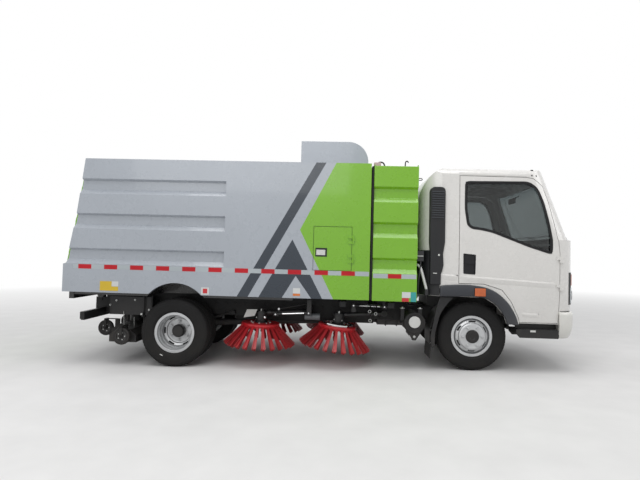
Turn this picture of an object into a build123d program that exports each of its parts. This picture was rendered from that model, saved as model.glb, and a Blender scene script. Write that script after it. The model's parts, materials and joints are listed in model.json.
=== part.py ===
"""A compact street sweeper truck: a light cab-over chassis that carries a water tank, a tipping
hopper with a roof air duct, four side brooms and a suction nozzle.

Millimetres. X points forward, Y to the left, Z up. The truck is drawn level with its chassis frame,
X = 0 at the rear axle, and every finished piece is then stood on the road by one move: the unladen
rear springs hold the tail up, so the whole truck leans nose down by the rake angle. The written
pieces have their origin on the road, below the middle of the truck.
"""
from build123d import *
import os
from math import cos, radians, sin, tan

os.makedirs("parts", exist_ok=True)

# Stance and wheels
wheelbase = 3360
tyre_radius = 385
tyre_width = 200
rake = 0.92                      # degrees, nose down
front_track = 1505
rear_track = 1450
twin_spacing = 232
running_gap = 6                  # between pieces that move past each other
seat_gap = 0.2                   # between pieces that seat on each other
front_wheel_z = tyre_radius
rear_wheel_z = tyre_radius - wheelbase * tan(radians(rake))

# Wheel rims for a 16 inch tyre
bead_radius = 203
flange_radius = 229
rim_width = 166
rim_sheet = 7
disc_offset = 112                # from the rim's middle to the mounting face
stud_circle = 111
hub_cap_radius = 74
hand_holes = 6
hand_hole_radius = 15
hand_hole_circle = 163

# Ladder frame and subframe
rail_half = 375                  # outer face of a rail
rail_flange = 60
rail_sheet = 7
rail_top = 660
rail_depth = 178
rail_rear = -1195
rail_front = 4250
rail_bottom = rail_top - rail_depth
cross_half = 30                  # half the height of a crossmember
subframe_height = 80
subframe_top = rail_top + subframe_height
subframe_rear = -1060
subframe_front = 2690

# Body behind the cab
body_half = 1020
body_bottom = 770
body_top = 2285
wall = 45                        # side wall, over its pressed ribs
plate = 30                       # floor and bulkheads
roof_plate = 36
hopper_front = 2185
tank_rear = 2217
tank_front = 2708
tank_top = 2262
tail_x = -1268                   # rearmost edge of the skirt
tail_step_z = 1092
tail_low_x = -1236
tail_high_x = -1057
recess_first = 230               # from the top edge to the first pressed recess
recess_pitch = 395
recess_height = 172
recess_depth = 38
recess_slope = 50
recess_end = 562
recess_count = 3
arch_radius = 410
arch_x = 20
arch_z = 489
bulkhead_x = 1310
tail_wall = 50
beam_bottom = 691
beam_rear = 1205                 # face of the tail beam, behind the rear axle

# Interfaces: towing pin at the tail, hydrant inlet in the water tank's left side
tow_x = -1236
tow_z = 552
tow_radius = 18
inlet_x = 2460
inlet_z = 1166
inlet_radius = 33
inlet_depth = 60

# Tipping pivot, tailgate hinge and access door
tip_x = -1120
tip_z = 700
tip_pin = 20
tip_ear = 40
gate_pin = 10
gate_hinge_z = 2262
gate_hinge_x = -1030
hatch_door_x = (1556, 1987)
hatch_door_z = (1082, 1575)
hatch_door_sheet = 26
door_pin = 11                    # how far the hinge line stands off the body

# Roof duct
duct_x = (1345, 2182)
duct_half = 400
duct_top = 2672
duct_nose = 250
duct_sheet = 14

# Cab
cab_rear = 2765
cab_front = 4500                 # front face at its corners
cab_bulge = 50                   # how far the middle of the front stands out
cab_half = 940
deck_z = (835, 875)             # floor over the front wheels
foot_z = (600, 640)              # footwell floor
nose_z = (705, 745)              # floor ahead of the pedals
cab_low = 560                    # lower edge of the doors
cab_sheet = 45
cab_front_corner = 280
cab_rear_corner = 250
belt_z = 1450
cowl_z = 1490
screen_low_x = 4462              # windscreen plane at the cowl
screen_high_x = 4118             # the same plane at the loft's upper end
cab_loft_top = 2400
door_gap = 6
glass_thick = 6
glass_depth = 12                 # how deep the glass sits below the outer skin
cab_hinge_x = 4287               # door hinge line, over the gap at the door's front edge
cab_hinge_off = 5                # outside the cab's half width
cab_hinge_radius = 8
cab_hinge_z = (930, 1235)
tilt_x = 4440
tilt_z = 800
tunnel_half = 430
tunnel_top = 1085
tunnel_sheet = 35
tunnel_front = 4045

# Steering and front axle
king_y = 655
beam_z = 300                     # middle of the dropped front axle beam
front_spring_y = 352
rear_spring_y = 419
spring_width = 66
spring_half = 560
front_spring_arch = 70
rear_spring_arch = 95
rear_spring_z = 402              # underside of the rear pack at its axle seat

# Side brooms: centre, tilt and height of the plate
broom_y = 620
broom_z = 428
broom_tip_radius = 430
broom_plate_radius = 225
broom_drop = 248                 # from the plate's middle to the bristle tips
broom_tufts = 24
arm_reach = 560
arm_z = 572
arm_y = 500
arm_pin = 15
arm_boss = 70                    # width of the arm's boss along its pin
brooms = [                       # name, x of its centre, forward tilt in degrees
    ("rear", 935, 2),
    ("front", 1845, 7),
]

# Suction nozzle
nozzle_x = (-965, -480)
nozzle_half = 820
nozzle_z = (188, 330)
nozzle_sheet = 10
caster_radius = 98
caster_width = 46
caster_z = 268
caster_pin = 10
casters = [                      # name, x, y of the wheel's middle
    ("front", -620, 892),
    ("rear", -1080, 320),
]
guide_x = -620
guide_y = 250
guide_rod = 18
suction_x = -800
suction_radius = 105

# Bumper and steps
bumper_front = 4522
bumper_bulge = 52
bumper_half = 966
bumper_corner = 250
bumper_z = (402, 694)
bumper_sheet = 20
bumper_rear = 4292
step_x = (3815, 4278)
step_z = (406, 536)
step_y = (700, 945)

front_end = bumper_front + bumper_bulge
middle_x = (front_end + tail_x) / 2
axle_x = wheelbase
stance = (
    Location((axle_x - middle_x, 0, front_wheel_z))
    * Location((0, 0, 0), (0, rake, 0))
    * Location((-axle_x, 0, -front_wheel_z))
)
sides = (("right", -1), ("left", 1))


def write(piece, label):
    """Stand a finished piece on the road, name it and write it."""
    piece.part = stance * piece.part
    piece.part.label = label
    export_step(piece.part, f"parts/{label}.step")


def block(x, y, z, mode=Mode.ADD):
    """A box given by its ranges along X, Y and Z."""
    with Locations(((x[0] + x[1]) / 2, (y[0] + y[1]) / 2, (z[0] + z[1]) / 2)):
        Box(abs(x[1] - x[0]), abs(y[1] - y[0]), abs(z[1] - z[0]), mode=mode)


def bar_y(x, z, y, radius, mode=Mode.ADD):
    """A round bar along Y, from y[0] to y[1]."""
    with Locations(Location((x, (y[0] + y[1]) / 2, z), (90, 0, 0))):
        Cylinder(radius, abs(y[1] - y[0]), mode=mode)


def tube_between(start, end, radius, mode=Mode.ADD):
    """A round bar between two points."""
    run = Vector(*end) - Vector(*start)
    with BuildSketch(Plane(origin=start, z_dir=run.normalized())) as face:
        Circle(radius)
    extrude(face.sketch, amount=run.length, mode=mode)


def side_prism(points, y, mode=Mode.ADD):
    """A polygon in side view, extruded between two values of Y."""
    with BuildSketch(Plane.XZ.offset(-y[0])) as face:
        with BuildLine():
            Polyline(*points, close=True)
        make_face()
    extrude(face.sketch, amount=-(y[1] - y[0]), mode=mode)


def turned(points, x, z, mode=Mode.ADD):
    """A ring turned about a line along Y; the points are (y, radius)."""
    with BuildSketch(Plane(origin=(x, 0, z), x_dir=(0, 1, 0), z_dir=(1, 0, 0))) as face:
        with BuildLine():
            Polyline(*points, close=True)
        make_face()
    revolve(face.sketch, axis=Axis((x, 0, z), (0, 1, 0)), mode=mode)


def leaf_spring(x, y, z, arch, eye_radius, pin_radius):
    """A semi-elliptic leaf pack whose underside is at z over the axle."""
    for leaf in range(3):
        reach = spring_half * (1 - 0.27 * (2 - leaf))
        rise = arch * (reach / spring_half) ** 2
        low = z + leaf * 12
        with BuildSketch(Plane.XZ.offset(-(y - spring_width / 2))) as face:
            with BuildLine():
                ThreePointArc((x - reach, low + rise), (x, low), (x + reach, low + rise))
                Line((x + reach, low + rise), (x + reach, low + rise + 12.5))
                ThreePointArc((x + reach, low + rise + 12.5), (x, low + 12.5), (x - reach, low + rise + 12.5))
                Line((x - reach, low + rise + 12.5), (x - reach, low + rise))
            make_face()
        extrude(face.sketch, amount=-spring_width)
    for end in (-1, 1):
        span = (y - spring_width / 2, y + spring_width / 2)
        bar_y(x + end * spring_half, z + 24 + arch, span, eye_radius)
        bar_y(x + end * spring_half, z + 24 + arch, span, pin_radius + seat_gap, mode=Mode.SUBTRACT)


# Ladder frame, with the hopper's subframe, the underrun bar and the brackets of the sweeping gear
crossmembers = [                 # x, half width along X
    (-1150, 40), (guide_x, 45), (230, 40), (1050, 40), (1560, 40), (2240, 40), (4170, 50),
]
with BuildPart() as chassis_frame:
    for name, side in sides:
        block((rail_rear, rail_front), (side * (rail_half - rail_sheet), side * rail_half),
              (rail_bottom, rail_top))
        for low in (rail_bottom, rail_top - rail_sheet):
            block((rail_rear, rail_front), (side * (rail_half - rail_flange), side * rail_half),
                  (low, low + rail_sheet))
        block((subframe_rear, subframe_front), (side * (rail_half - rail_flange), side * rail_half),
              (rail_top, subframe_top))
    for x, half in crossmembers:
        block((x - half, x + half), (-rail_half + rail_sheet / 2, rail_half - rail_sheet / 2),
              (rail_bottom + 40, rail_bottom + 40 + 2 * cross_half))
    for x in (1900, 2440):
        block((x - 35, x + 35), (-body_half + 90, body_half - 90), (rail_top + 20, subframe_top))
    # tow eye on the last crossmember
    block((-1262, -1185), (-15, 15), (rail_bottom + 40, rail_bottom + 100))
    bar_y(tow_x, tow_z, (-20, 20), tow_radius, mode=Mode.SUBTRACT)
    # underrun bar
    block((-1100, -1060), (-900, 900), (438, 535))
    for name, side in sides:
        block((-1100, -1060), (side * (rail_half - rail_flange), side * rail_half), (530, rail_bottom + 10))
        block((-1100, -1060), (side * (rail_half - rail_flange), side * rail_half), (438, rail_bottom + 10))
        # tipping pivots and pins
        block((tip_x - 25, tip_x + 25), (side * (rail_half - rail_flange), side * rail_half),
              (rail_top - rail_sheet, tip_z))
        bar_y(tip_x, tip_z, (side * (rail_half - rail_flange), side * rail_half), 25)
        bar_y(tip_x, tip_z, (side * (rail_half - rail_flange), side * (rail_half + 52)), tip_pin)
        # hangers of the front springs below the rail, of the rear springs beside it
        for end in (-1, 1):
            block((axle_x + end * spring_half - 35, axle_x + end * spring_half + 35),
                  (side * (front_spring_y - 45), side * (front_spring_y - 36)),
                  (beam_z + 40 + front_spring_arch + 10, rail_bottom + rail_sheet))
            bar_y(axle_x + end * spring_half, beam_z + 64 + front_spring_arch,
                  (side * (front_spring_y - 45), side * (front_spring_y + spring_width / 2)), 11)
            bar_y(end * spring_half, rear_spring_z + 24 + rear_spring_arch,
                  (side * (rail_half - rail_sheet), side * (rear_spring_y + spring_width / 2)), 13)
        # broom pivots
        for which, x, tilt in brooms:
            pivot = x + arm_reach
            inner = arm_y - arm_boss / 2 - running_gap
            block((pivot - 45, pivot + 45), (side * (rail_half - rail_sheet), side * inner),
                  (arm_z - 50, arm_z + 50))
            bar_y(pivot, arm_z, (side * (inner - 2), side * (arm_y + arm_boss / 2 + running_gap + 2)), arm_pin)
            bar_y(pivot, arm_z, (side * (arm_y + arm_boss / 2 + seat_gap), side * (arm_y + arm_boss / 2 + 12)), 26)
        # cab tilt brackets and pins at the frame's nose
        plate_y = (side * (rail_half - rail_sheet - 30), side * (rail_half - rail_sheet + 1))
        side_prism([(4080, 600), (4250, 600), (4415, 730), (4440, 772), (4440, 828), (4405, 826),
                    (4190, 655), (4080, 655)], plate_y)
        bar_y(tilt_x, tilt_z, plate_y, 32)
        bar_y(tilt_x, tilt_z, (plate_y[0], side * (rail_half + 46)), 18)
        # bores that guide the nozzle's lifting rods
        with Locations((guide_x, side * guide_y, rail_bottom + 70)):
            Cylinder(32, 110)
            Cylinder(guide_rod + seat_gap, 200, mode=Mode.SUBTRACT)
write(chassis_frame, "chassis_frame")

# Front axle: dropped beam, king pin eyes and both leaf packs
with BuildPart() as front_axle:
    for name, side in sides:
        with BuildSketch(Plane(origin=(axle_x - 32, 0, 0), x_dir=(0, 1, 0), z_dir=(1, 0, 0))):
            with BuildLine():
                Polyline((0, beam_z - 40), (side * 470, beam_z - 40), (side * 580, 347), (side * king_y, 347),
                         (side * king_y, 423), (side * 555, 423), (side * 450, beam_z + 40), (0, beam_z + 40),
                         close=True)
            make_face()
        extrude(amount=64)
        with Locations((axle_x, side * king_y, front_wheel_z)):
            Cylinder(38, 76)
            Cylinder(16 + seat_gap, 90, mode=Mode.SUBTRACT)
        leaf_spring(axle_x, side * front_spring_y, beam_z + 40, front_spring_arch, 23, 11)
        block((axle_x - 45, axle_x + 45), (side * (front_spring_y - 33), side * (front_spring_y + 33)),
              (beam_z + 30, beam_z + 48))
write(front_axle, "front_axle")

# Rear axle: housing, differential, spindles and both leaf packs
with BuildPart() as rear_axle:
    bar_y(0, rear_wheel_z, (-640, 640), 60)
    bar_y(0, rear_wheel_z, (-760, 760), 44)
    bar_y(0, rear_wheel_z, (-115, 115), 148)
    tube_between((60, 0, rear_wheel_z), (210, 0, rear_wheel_z + 6), 78)
    for name, side in sides:
        block((-60, 60), (side * (rear_spring_y - 33), side * (rear_spring_y + 33)),
              (rear_wheel_z, rear_spring_z + 5))
        leaf_spring(0, side * rear_spring_y, rear_spring_z, rear_spring_arch, 24, 13)
write(rear_axle, "rear_axle")

# Engine, gearbox and propeller shaft
with BuildPart() as engine:
    block((2950, 3940), (-300, 300), (430, 1025))
    block((2350, 2960), (-165, 165), (390, 670))
    tube_between((2360, 0, 440), (210.5, 0, rear_wheel_z + 6), 42)
    for x in (3060, 3700):
        block((x - 35, x + 35), (-362, 362), (rail_bottom + rail_sheet + seat_gap, 525))
write(engine, "engine")

# Fuel tank on the left, air tank on the right
with BuildPart() as fuel_tank:
    block((2480, 2790), (450, 900), (385, 650))
    fillet(fuel_tank.edges().filter_by(Axis.Y), 45)
    block((2600, 2680), (rail_half + seat_gap, 455), (500, 600))
write(fuel_tank, "fuel_tank")

with BuildPart() as air_tank:
    bar_y(2704, 523, (-560, -936), 118)
    block((2668, 2740), (-rail_half - seat_gap, -570), (500, 560))
    block((2684, 2724), (-850, -900), (330, 420))
write(air_tank, "air_tank")


def front_outline(front, rear, half, front_corner, rear_corner, bulge):
    """Plan outline with round corners and a bowed front."""
    turn = cos(radians(45))
    for side in (-1, 1):
        ThreePointArc((rear, side * (half - rear_corner)),
                      (rear + rear_corner * (1 - turn), side * (half - rear_corner * (1 - turn))),
                      (rear + rear_corner, side * half))
        Line((rear + rear_corner, side * half), (front - front_corner, side * half))
        ThreePointArc((front - front_corner, side * half),
                      (front - front_corner * (1 - turn), side * (half - front_corner * (1 - turn))),
                      (front, side * (half - front_corner)))
    ThreePointArc((front, front_corner - half), (front + bulge, 0), (front, half - front_corner))
    Line((rear, rear_corner - half), (rear, half - rear_corner))


# Front bumper with its two mounting arms
with BuildPart() as bumper:
    with BuildSketch(Plane.XY.offset(bumper_z[0])):
        with BuildLine():
            front_outline(bumper_front, 4000, bumper_half, bumper_corner, 40, bumper_bulge)
        make_face()
        with BuildLine():
            front_outline(bumper_front - bumper_sheet, 3900, bumper_half - bumper_sheet,
                          bumper_corner - bumper_sheet, 40, bumper_bulge)
        make_face(mode=Mode.SUBTRACT)
    extrude(amount=bumper_z[1] - bumper_z[0])
    block((3800, bumper_rear), (-1000, 1000), (bumper_z[0] - 5, bumper_z[1] + 5), mode=Mode.SUBTRACT)
    for name, side in sides:
        block((4150, 4548), (side * 318, side * 334), (rail_bottom + rail_sheet + seat_gap, 521))
write(bumper, "bumper")

# Cab entry steps and the rear halves of the front mudguards
for name, side in sides:
    with BuildPart() as cab_step:
        block(step_x, (side * step_y[0], side * step_y[1]), step_z)
        block((step_x[0] + 20, step_x[1] - 20), (side * (step_y[0] + 60), side * (step_y[1] + 5)),
              (step_z[0] + 30, step_z[1] - 25), mode=Mode.SUBTRACT)
        block((3900, 4000), (side * (rail_half + seat_gap), side * (step_y[0] + 10)), (495, 535))
    write(cab_step, f"cab_step_{name}")
    with BuildPart() as mudguard:
        side_prism([(3074, 764), (2815, 335), (2810, 140), (2800, 140), (2803, 340), (3062, 770)],
                   (side * 600, side * 930))
        block((2880, 2928), (side * (rail_half + seat_gap), side * 640), (500, 536))
        side_prism([(3074, 764), (2815, 335), (3074, 335)], (side * 560, side * 700), mode=Mode.SUBTRACT)
    write(mudguard, f"front_mudguard_{name}")

# Water tank behind the cab
recess_tops = [body_top - recess_first - recess_pitch * index for index in range(recess_count)]


def pressed_recess(x, top, side, depth, half):
    """A horizontal pressed recess with sloping upper and lower faces, cut into a side wall."""
    low = top - recess_height
    with BuildSketch(Plane(origin=(x[0], 0, 0), x_dir=(0, 1, 0), z_dir=(1, 0, 0))) as face:
        with BuildLine():
            Polyline((side * (half + 1), top + 1), (side * (half - depth), top - recess_slope * 0.4),
                     (side * (half - depth), low + recess_slope), (side * (half + 1), low - 1), close=True)
        make_face()
    extrude(face.sketch, amount=x[1] - x[0], mode=Mode.SUBTRACT)


with BuildPart() as water_tank:
    block((tank_rear, tank_front), (-body_half, body_half), (body_bottom - 5, tank_top))
    block((tank_rear, tank_front), (-rail_half, rail_half), (subframe_top + seat_gap, body_bottom))
    for name, side in sides:
        for top in recess_tops:
            pressed_recess((tank_rear - 5, tank_front + 5), top - 26, side, recess_depth, body_half)
    with Locations((2560, 0, tank_top)):
        Cylinder(180, 60, align=(Align.CENTER, Align.CENTER, Align.MIN))
    bar_y(inlet_x, inlet_z, (body_half - inlet_depth, body_half + 5), inlet_radius, mode=Mode.SUBTRACT)
write(water_tank, "water_tank")

# Sweeping engine and fan, under the front of the hopper
with BuildPart() as sweeper_engine:
    block((1400, 1980), (-380, 380), (subframe_top + seat_gap, 1340))
write(sweeper_engine, "sweeper_engine")


# Hopper: floor, walls, roof, bulkhead, wheel housings, tail beam and pivot ears
tail_line = [(tail_high_x, body_top), (-1135, 1658), (tail_low_x, tail_step_z), (tail_x, tail_step_z - 8),
             (tail_x, body_bottom)]
with BuildPart() as hopper:
    side_prism([(hopper_front, body_bottom), (hopper_front, body_top)] + tail_line, (-body_half, body_half))
    block((-1500, bulkhead_x), (-body_half + wall, body_half - wall), (780, body_top - roof_plate),
          mode=Mode.SUBTRACT)
    block((bulkhead_x + plate, hopper_front - plate), (-body_half + wall, body_half - wall),
          (body_bottom - 10, body_top - roof_plate), mode=Mode.SUBTRACT)
    block((-1205, bulkhead_x + plate), (-body_half + wall, body_half - wall),
          (subframe_top + seat_gap, 778))
    # the roof stops short of the tailgate's hinge tube
    block((-1100, gate_hinge_x + 45), (-body_half + wall, body_half - wall),
          (body_top - roof_plate - 5, body_top + 5), mode=Mode.SUBTRACT)
    # roof openings under the duct and the hatch
    block((1450, 1950), (-330, 330), (body_top - 60, body_top + 5), mode=Mode.SUBTRACT)
    block((1070, 1250), (-210, 210), (body_top - 60, body_top + 5), mode=Mode.SUBTRACT)
    # inlet in the floor, over the suction pipe
    with Locations((suction_x, 0, subframe_top)):
        Cylinder(suction_radius - 10, 120, mode=Mode.SUBTRACT)
    for name, side in sides:
        # wheel housing
        with BuildSketch(Plane.XZ.offset(-side * 455)):
            with Locations((arch_x, arch_z)):
                Circle(arch_radius + 25)
            with Locations((arch_x, arch_z - 200)):
                Rectangle(1200, 2 * (subframe_top + seat_gap - arch_z + 200), mode=Mode.SUBTRACT)
        extrude(amount=-side * (body_half - wall + 10 - 455))
        bar_y(arch_x, arch_z, (side * 480, side * (body_half + 10)), arch_radius, mode=Mode.SUBTRACT)
        # tail beam and pivot ear
        block((-1205, -1150), (side * 440, side * (body_half - wall + 5)), (beam_bottom, 772))
        bar_y(tip_x, tip_z, (side * (rail_half + running_gap), side * (rail_half + running_gap + tip_ear)), 44)
        block((tip_x - 44, tip_x + 44),
              (side * (rail_half + running_gap), side * (rail_half + running_gap + tip_ear)), (tip_z, 760))
        bar_y(tip_x, tip_z, (side * rail_half, side * (rail_half + 60)), tip_pin + seat_gap, mode=Mode.SUBTRACT)
        # pressed recesses in the side
        for top in recess_tops:
            pressed_recess((tail_x - 60, recess_end), top, side, recess_depth, body_half)
        # stub pins of the tailgate's hinge
        bar_y(gate_hinge_x, gate_hinge_z, (side * (body_half - wall - 60), side * (body_half - 10)), gate_pin)
        # opening of the access door, with a lip for the leaf to close on
        leaf = (body_half - hatch_door_sheet - seat_gap, body_half + 5)
        block(hatch_door_x, (side * leaf[0], side * leaf[1]), hatch_door_z, mode=Mode.SUBTRACT)
        block((hatch_door_x[0] + 22, hatch_door_x[1] - 22), (side * (body_half - wall - 5), side * leaf[1]),
              (hatch_door_z[0] + 22, hatch_door_z[1] - 22), mode=Mode.SUBTRACT)
        for low in (1205, 1415):
            with Locations((hatch_door_x[1] + door_pin, side * (body_half + door_pin), low + 15)):
                Cylinder(9, 30)
            block((hatch_door_x[1] + door_pin, hatch_door_x[1] + 34),
                  (side * (body_half - 3), side * (body_half + door_pin)), (low, low + 30))
            with Locations((hatch_door_x[1] + door_pin, side * (body_half + door_pin), low + 15)):
                Cylinder(4, 112)
    # hinge lugs of the roof hatch
    for y in (-150, 150):
        block((1005, 1030), (y - 20, y + 20), (body_top - 2, body_top + 12))
        bar_y(1018, body_top + 12, (y - 20, y + 20), 10)
        bar_y(1018, body_top + 12, (y - 58, y + 58), 4)
write(hopper, "hopper")

# Roof hatch
with BuildPart() as roof_hatch:
    block((1036, 1290), (-255, 255), (body_top + seat_gap, body_top + 28))
    for y in (-190, -110, 110, 190):
        bar_y(1018, body_top + 12, (y - 19, y + 19), 10)
        block((1018, 1040), (y - 19, y + 19), (body_top + 4, body_top + 20))
        bar_y(1018, body_top + 12, (y - 30, y + 30), 4 + seat_gap, mode=Mode.SUBTRACT)
write(roof_hatch, "roof_hatch")

# Roof air duct
with BuildPart() as roof_duct:
    with BuildSketch(Plane.XZ.offset(-duct_half)):
        with BuildLine():
            Polyline((duct_x[1], body_top + seat_gap), (duct_x[0], body_top + seat_gap), (duct_x[0], duct_top),
                     (duct_x[1] - duct_nose, duct_top))
            ThreePointArc((duct_x[1] - duct_nose, duct_top),
                          (duct_x[1] - duct_nose * (1 - cos(radians(45))),
                           duct_top - duct_nose * (1 - cos(radians(45)))),
                          (duct_x[1], duct_top - duct_nose))
            Line((duct_x[1], duct_top - duct_nose), (duct_x[1], body_top + seat_gap))
        make_face()
    extrude(amount=2 * duct_half)
    block((duct_x[0] + duct_sheet, duct_x[1] - duct_nose + 60), (-duct_half + duct_sheet, duct_half - duct_sheet),
          (body_top - 5, duct_top - duct_sheet - 20), mode=Mode.SUBTRACT)
write(roof_duct, "roof_duct")

# Tailgate, hung from its top edge
gate_half = body_half - wall - running_gap
with BuildPart() as tailgate:
    outer = [(-1068, gate_hinge_z + 8), (-1155, 1658), (-1256, tail_step_z + 6), (-1288, tail_step_z - 8), (-1288, 786)]
    inner = [(x + tail_wall, z) for x, z in reversed(outer)]
    inner[-1] = (gate_hinge_x, gate_hinge_z + 8)
    side_prism(outer + inner, (-gate_half, gate_half))
    bar_y(gate_hinge_x, gate_hinge_z, (-gate_half, gate_half), 20)
    bar_y(gate_hinge_x, gate_hinge_z, (-gate_half - 1, -gate_half + 60), gate_pin + seat_gap, mode=Mode.SUBTRACT)
    bar_y(gate_hinge_x, gate_hinge_z, (gate_half - 60, gate_half + 1), gate_pin + seat_gap, mode=Mode.SUBTRACT)
write(tailgate, "tailgate")

# Access doors in the hopper's sides
for name, side in sides:
    with BuildPart() as access_door:
        block((hatch_door_x[0] + running_gap, hatch_door_x[1] - running_gap),
              (side * (body_half - hatch_door_sheet), side * body_half),
              (hatch_door_z[0] + running_gap, hatch_door_z[1] - running_gap))
        pin = (hatch_door_x[1] + door_pin, side * (body_half + door_pin))
        for low in (1175, 1235.2, 1385, 1445.2):
            with Locations((pin[0], pin[1], low + 14.9)):
                Cylinder(9, 29.8)
            block((hatch_door_x[1] - 44, pin[0]), (side * (body_half + 2), side * (body_half + 10)),
                  (low, low + 29.8))
            block((hatch_door_x[1] - 44, hatch_door_x[1] - 8), (side * (body_half - 1), side * (body_half + 5)),
                  (low, low + 29.8))
            with Locations((pin[0], pin[1], low + 14.9)):
                Cylinder(4 + seat_gap, 40, mode=Mode.SUBTRACT)
        block((1582, 1712), (side * (body_half - 14), side * (body_half + 5)), (1236, 1334), mode=Mode.SUBTRACT)
        block((1592, 1690), (side * (body_half - 15), side * (body_half - 4)), (1256, 1312))
    write(access_door, f"access_door_{name}")


def cab_solid(inset, bottom):
    """The cab's outer form, shrunk by an inset and filled down to a height."""
    with BuildPart() as form:
        with BuildSketch(Plane.XY.offset(bottom)):
            with BuildLine():
                front_outline(cab_front - inset, cab_rear + inset, cab_half - inset,
                              cab_front_corner - inset, cab_rear_corner - inset, cab_bulge)
            make_face()
        extrude(amount=cowl_z - inset / 3 - bottom)
        with BuildSketch(Plane.XY.offset(cowl_z - inset / 3)):
            with BuildLine():
                front_outline(screen_low_x - inset, cab_rear + inset, cab_half - inset,
                              cab_front_corner - inset, cab_rear_corner - inset, cab_bulge)
            make_face()
        with BuildSketch(Plane.XY.offset(cab_loft_top)):
            with BuildLine():
                front_outline(screen_high_x - inset, cab_rear + inset, cab_half - 28 - inset,
                              cab_front_corner - inset, cab_rear_corner - inset, cab_bulge)
            make_face()
        loft()
        # roof line in side view
        with BuildSketch(Plane.XZ.offset(-1200)):
            with BuildLine():
                Polyline((5000, bottom - 50), (cab_rear + inset - 0.01, bottom - 50), (cab_rear + inset - 0.01, 1950 - inset))
                ThreePointArc((cab_rear + inset - 0.01, 1950 - inset), (2850 + inset * 0.7, 2170 - inset * 0.7),
                              (3150, 2300 - inset))
                ThreePointArc((3150, 2300 - inset), (3600, 2318 - inset), (4050, 2292 - inset))
                ThreePointArc((4050, 2292 - inset), (4150 - inset * 0.4, 2246 - inset * 0.9),
                              (4222 - inset, 2140 - inset * 0.5))
                Polyline((4222 - inset, 2140 - inset * 0.5), (5000, 2140 - inset * 0.5), (5000, bottom - 50))
            make_face()
        extrude(amount=2400, mode=Mode.INTERSECT)
        # roof edges in front view
        with BuildSketch(Plane(origin=(2000, 0, 0), x_dir=(0, 1, 0), z_dir=(1, 0, 0))):
            with BuildLine():
                edge = cab_half - 10 - inset
                Polyline((-edge - 200, 2150), (-edge - 200, bottom - 50), (edge + 200, bottom - 50),
                         (edge + 200, 2150), (edge, 2150))
                ThreePointArc((edge, 2150), (edge - 34, 2240 - inset), (edge - 130, 2282 - inset))
                ThreePointArc((edge - 130, 2282 - inset), (0, 2330 - inset), (130 - edge, 2282 - inset))
                ThreePointArc((130 - edge, 2282 - inset), (34 - edge, 2240 - inset), (-edge, 2150))
                Line((-edge, 2150), (-edge - 200, 2150))
            make_face()
        extrude(amount=3500, mode=Mode.INTERSECT)
    return form.part


door_line = [
    (3178, 976), (3457, 976), (3655, 916), (3756, 789), (3838, 612), (3846, 566), (4272, 566), (4290, 900),
    (4290, 1330), (4272, 1480), (4230, 1680), (4180, 1900), (4112, 2090), (4000, 2172), (3900, 2184),
    (3178, 2190),
]
window_line = [
    (3245, 2120), (3940, 2128), (4040, 2062), (4112, 1898), (4166, 1670), (4200, 1476), (4196, 1330),
    (3948, 1406), (3707, 1497), (3545, 1558), (3416, 1585), (3319, 1594), (3270, 1634), (3243, 1813),
]
arch_outer = [(2974, 962), (3457, 968), (3648, 908), (3746, 782), (3828, 608), (3836, 545)]
arch_inner = [(3719, 545), (3687, 640), (3588, 750), (3459, 828), (2984, 832)]
screen_low_half = 815
screen_high_half = 770
screen_z = (1528, 2150)
rear_glass_half = 420
rear_glass_z = (1560, 1960)

cab_outer = cab_solid(0, 500)
cab_inner = cab_solid(cab_sheet, 400)

# Cab floor, engine tunnel and tilt ears, trimmed to the cab's inside
with BuildPart() as cab_floor:
    for name, side in sides:
        near, far = side * (tunnel_half - tunnel_sheet), side * cab_half
        trim = side * (cab_half - cab_sheet - running_gap)
        block((cab_rear, 3640), (near, far), deck_z)
        block((3640, 3815), (near, trim), deck_z)
        block((3775, 3815), (near, far), (foot_z[0], foot_z[1] + 10))
        block((3775, 3815), (near, trim), (foot_z[0], deck_z[1]))
        block((3775, 4252), (near, trim), foot_z)
        block((4250, 4290), (near, trim - side * 12), (foot_z[0], nose_z[1]))
        block((4250, 4300), (near, trim - side * 12), nose_z)
        block((4292, 4600), (near, far), nose_z)
        block((cab_rear, tunnel_front), (near, side * tunnel_half), (deck_z[0], tunnel_top))
        block((3775, 4290), (near, side * tunnel_half), (foot_z[0], tunnel_top - 195))
        block((3775, tunnel_front), (near, side * tunnel_half), (foot_z[0], tunnel_top))
        block((4250, 4600), (near, side * tunnel_half), (nose_z[0], tunnel_top - 195))
    block((cab_rear, tunnel_front), (-tunnel_half, tunnel_half), (tunnel_top - tunnel_sheet, tunnel_top))
    block((tunnel_front - tunnel_sheet, tunnel_front), (-tunnel_half, tunnel_half), (850, tunnel_top))
    block((tunnel_front - tunnel_sheet, 4600), (-tunnel_half, tunnel_half), (850, 890))
    add(cab_solid(cab_sheet - 4, 450), mode=Mode.INTERSECT)
    for name, side in sides:
        ear = (side * (rail_half - 1), side * (rail_half + 36))
        bar_y(tilt_x, tilt_z, ear, 30)
        block((tilt_x - 30, tilt_x + 30), ear, (tilt_z, 870))
        bar_y(tilt_x, tilt_z, (side * (rail_half - 3), side * (rail_half + 49)), 18 + seat_gap, mode=Mode.SUBTRACT)

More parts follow.
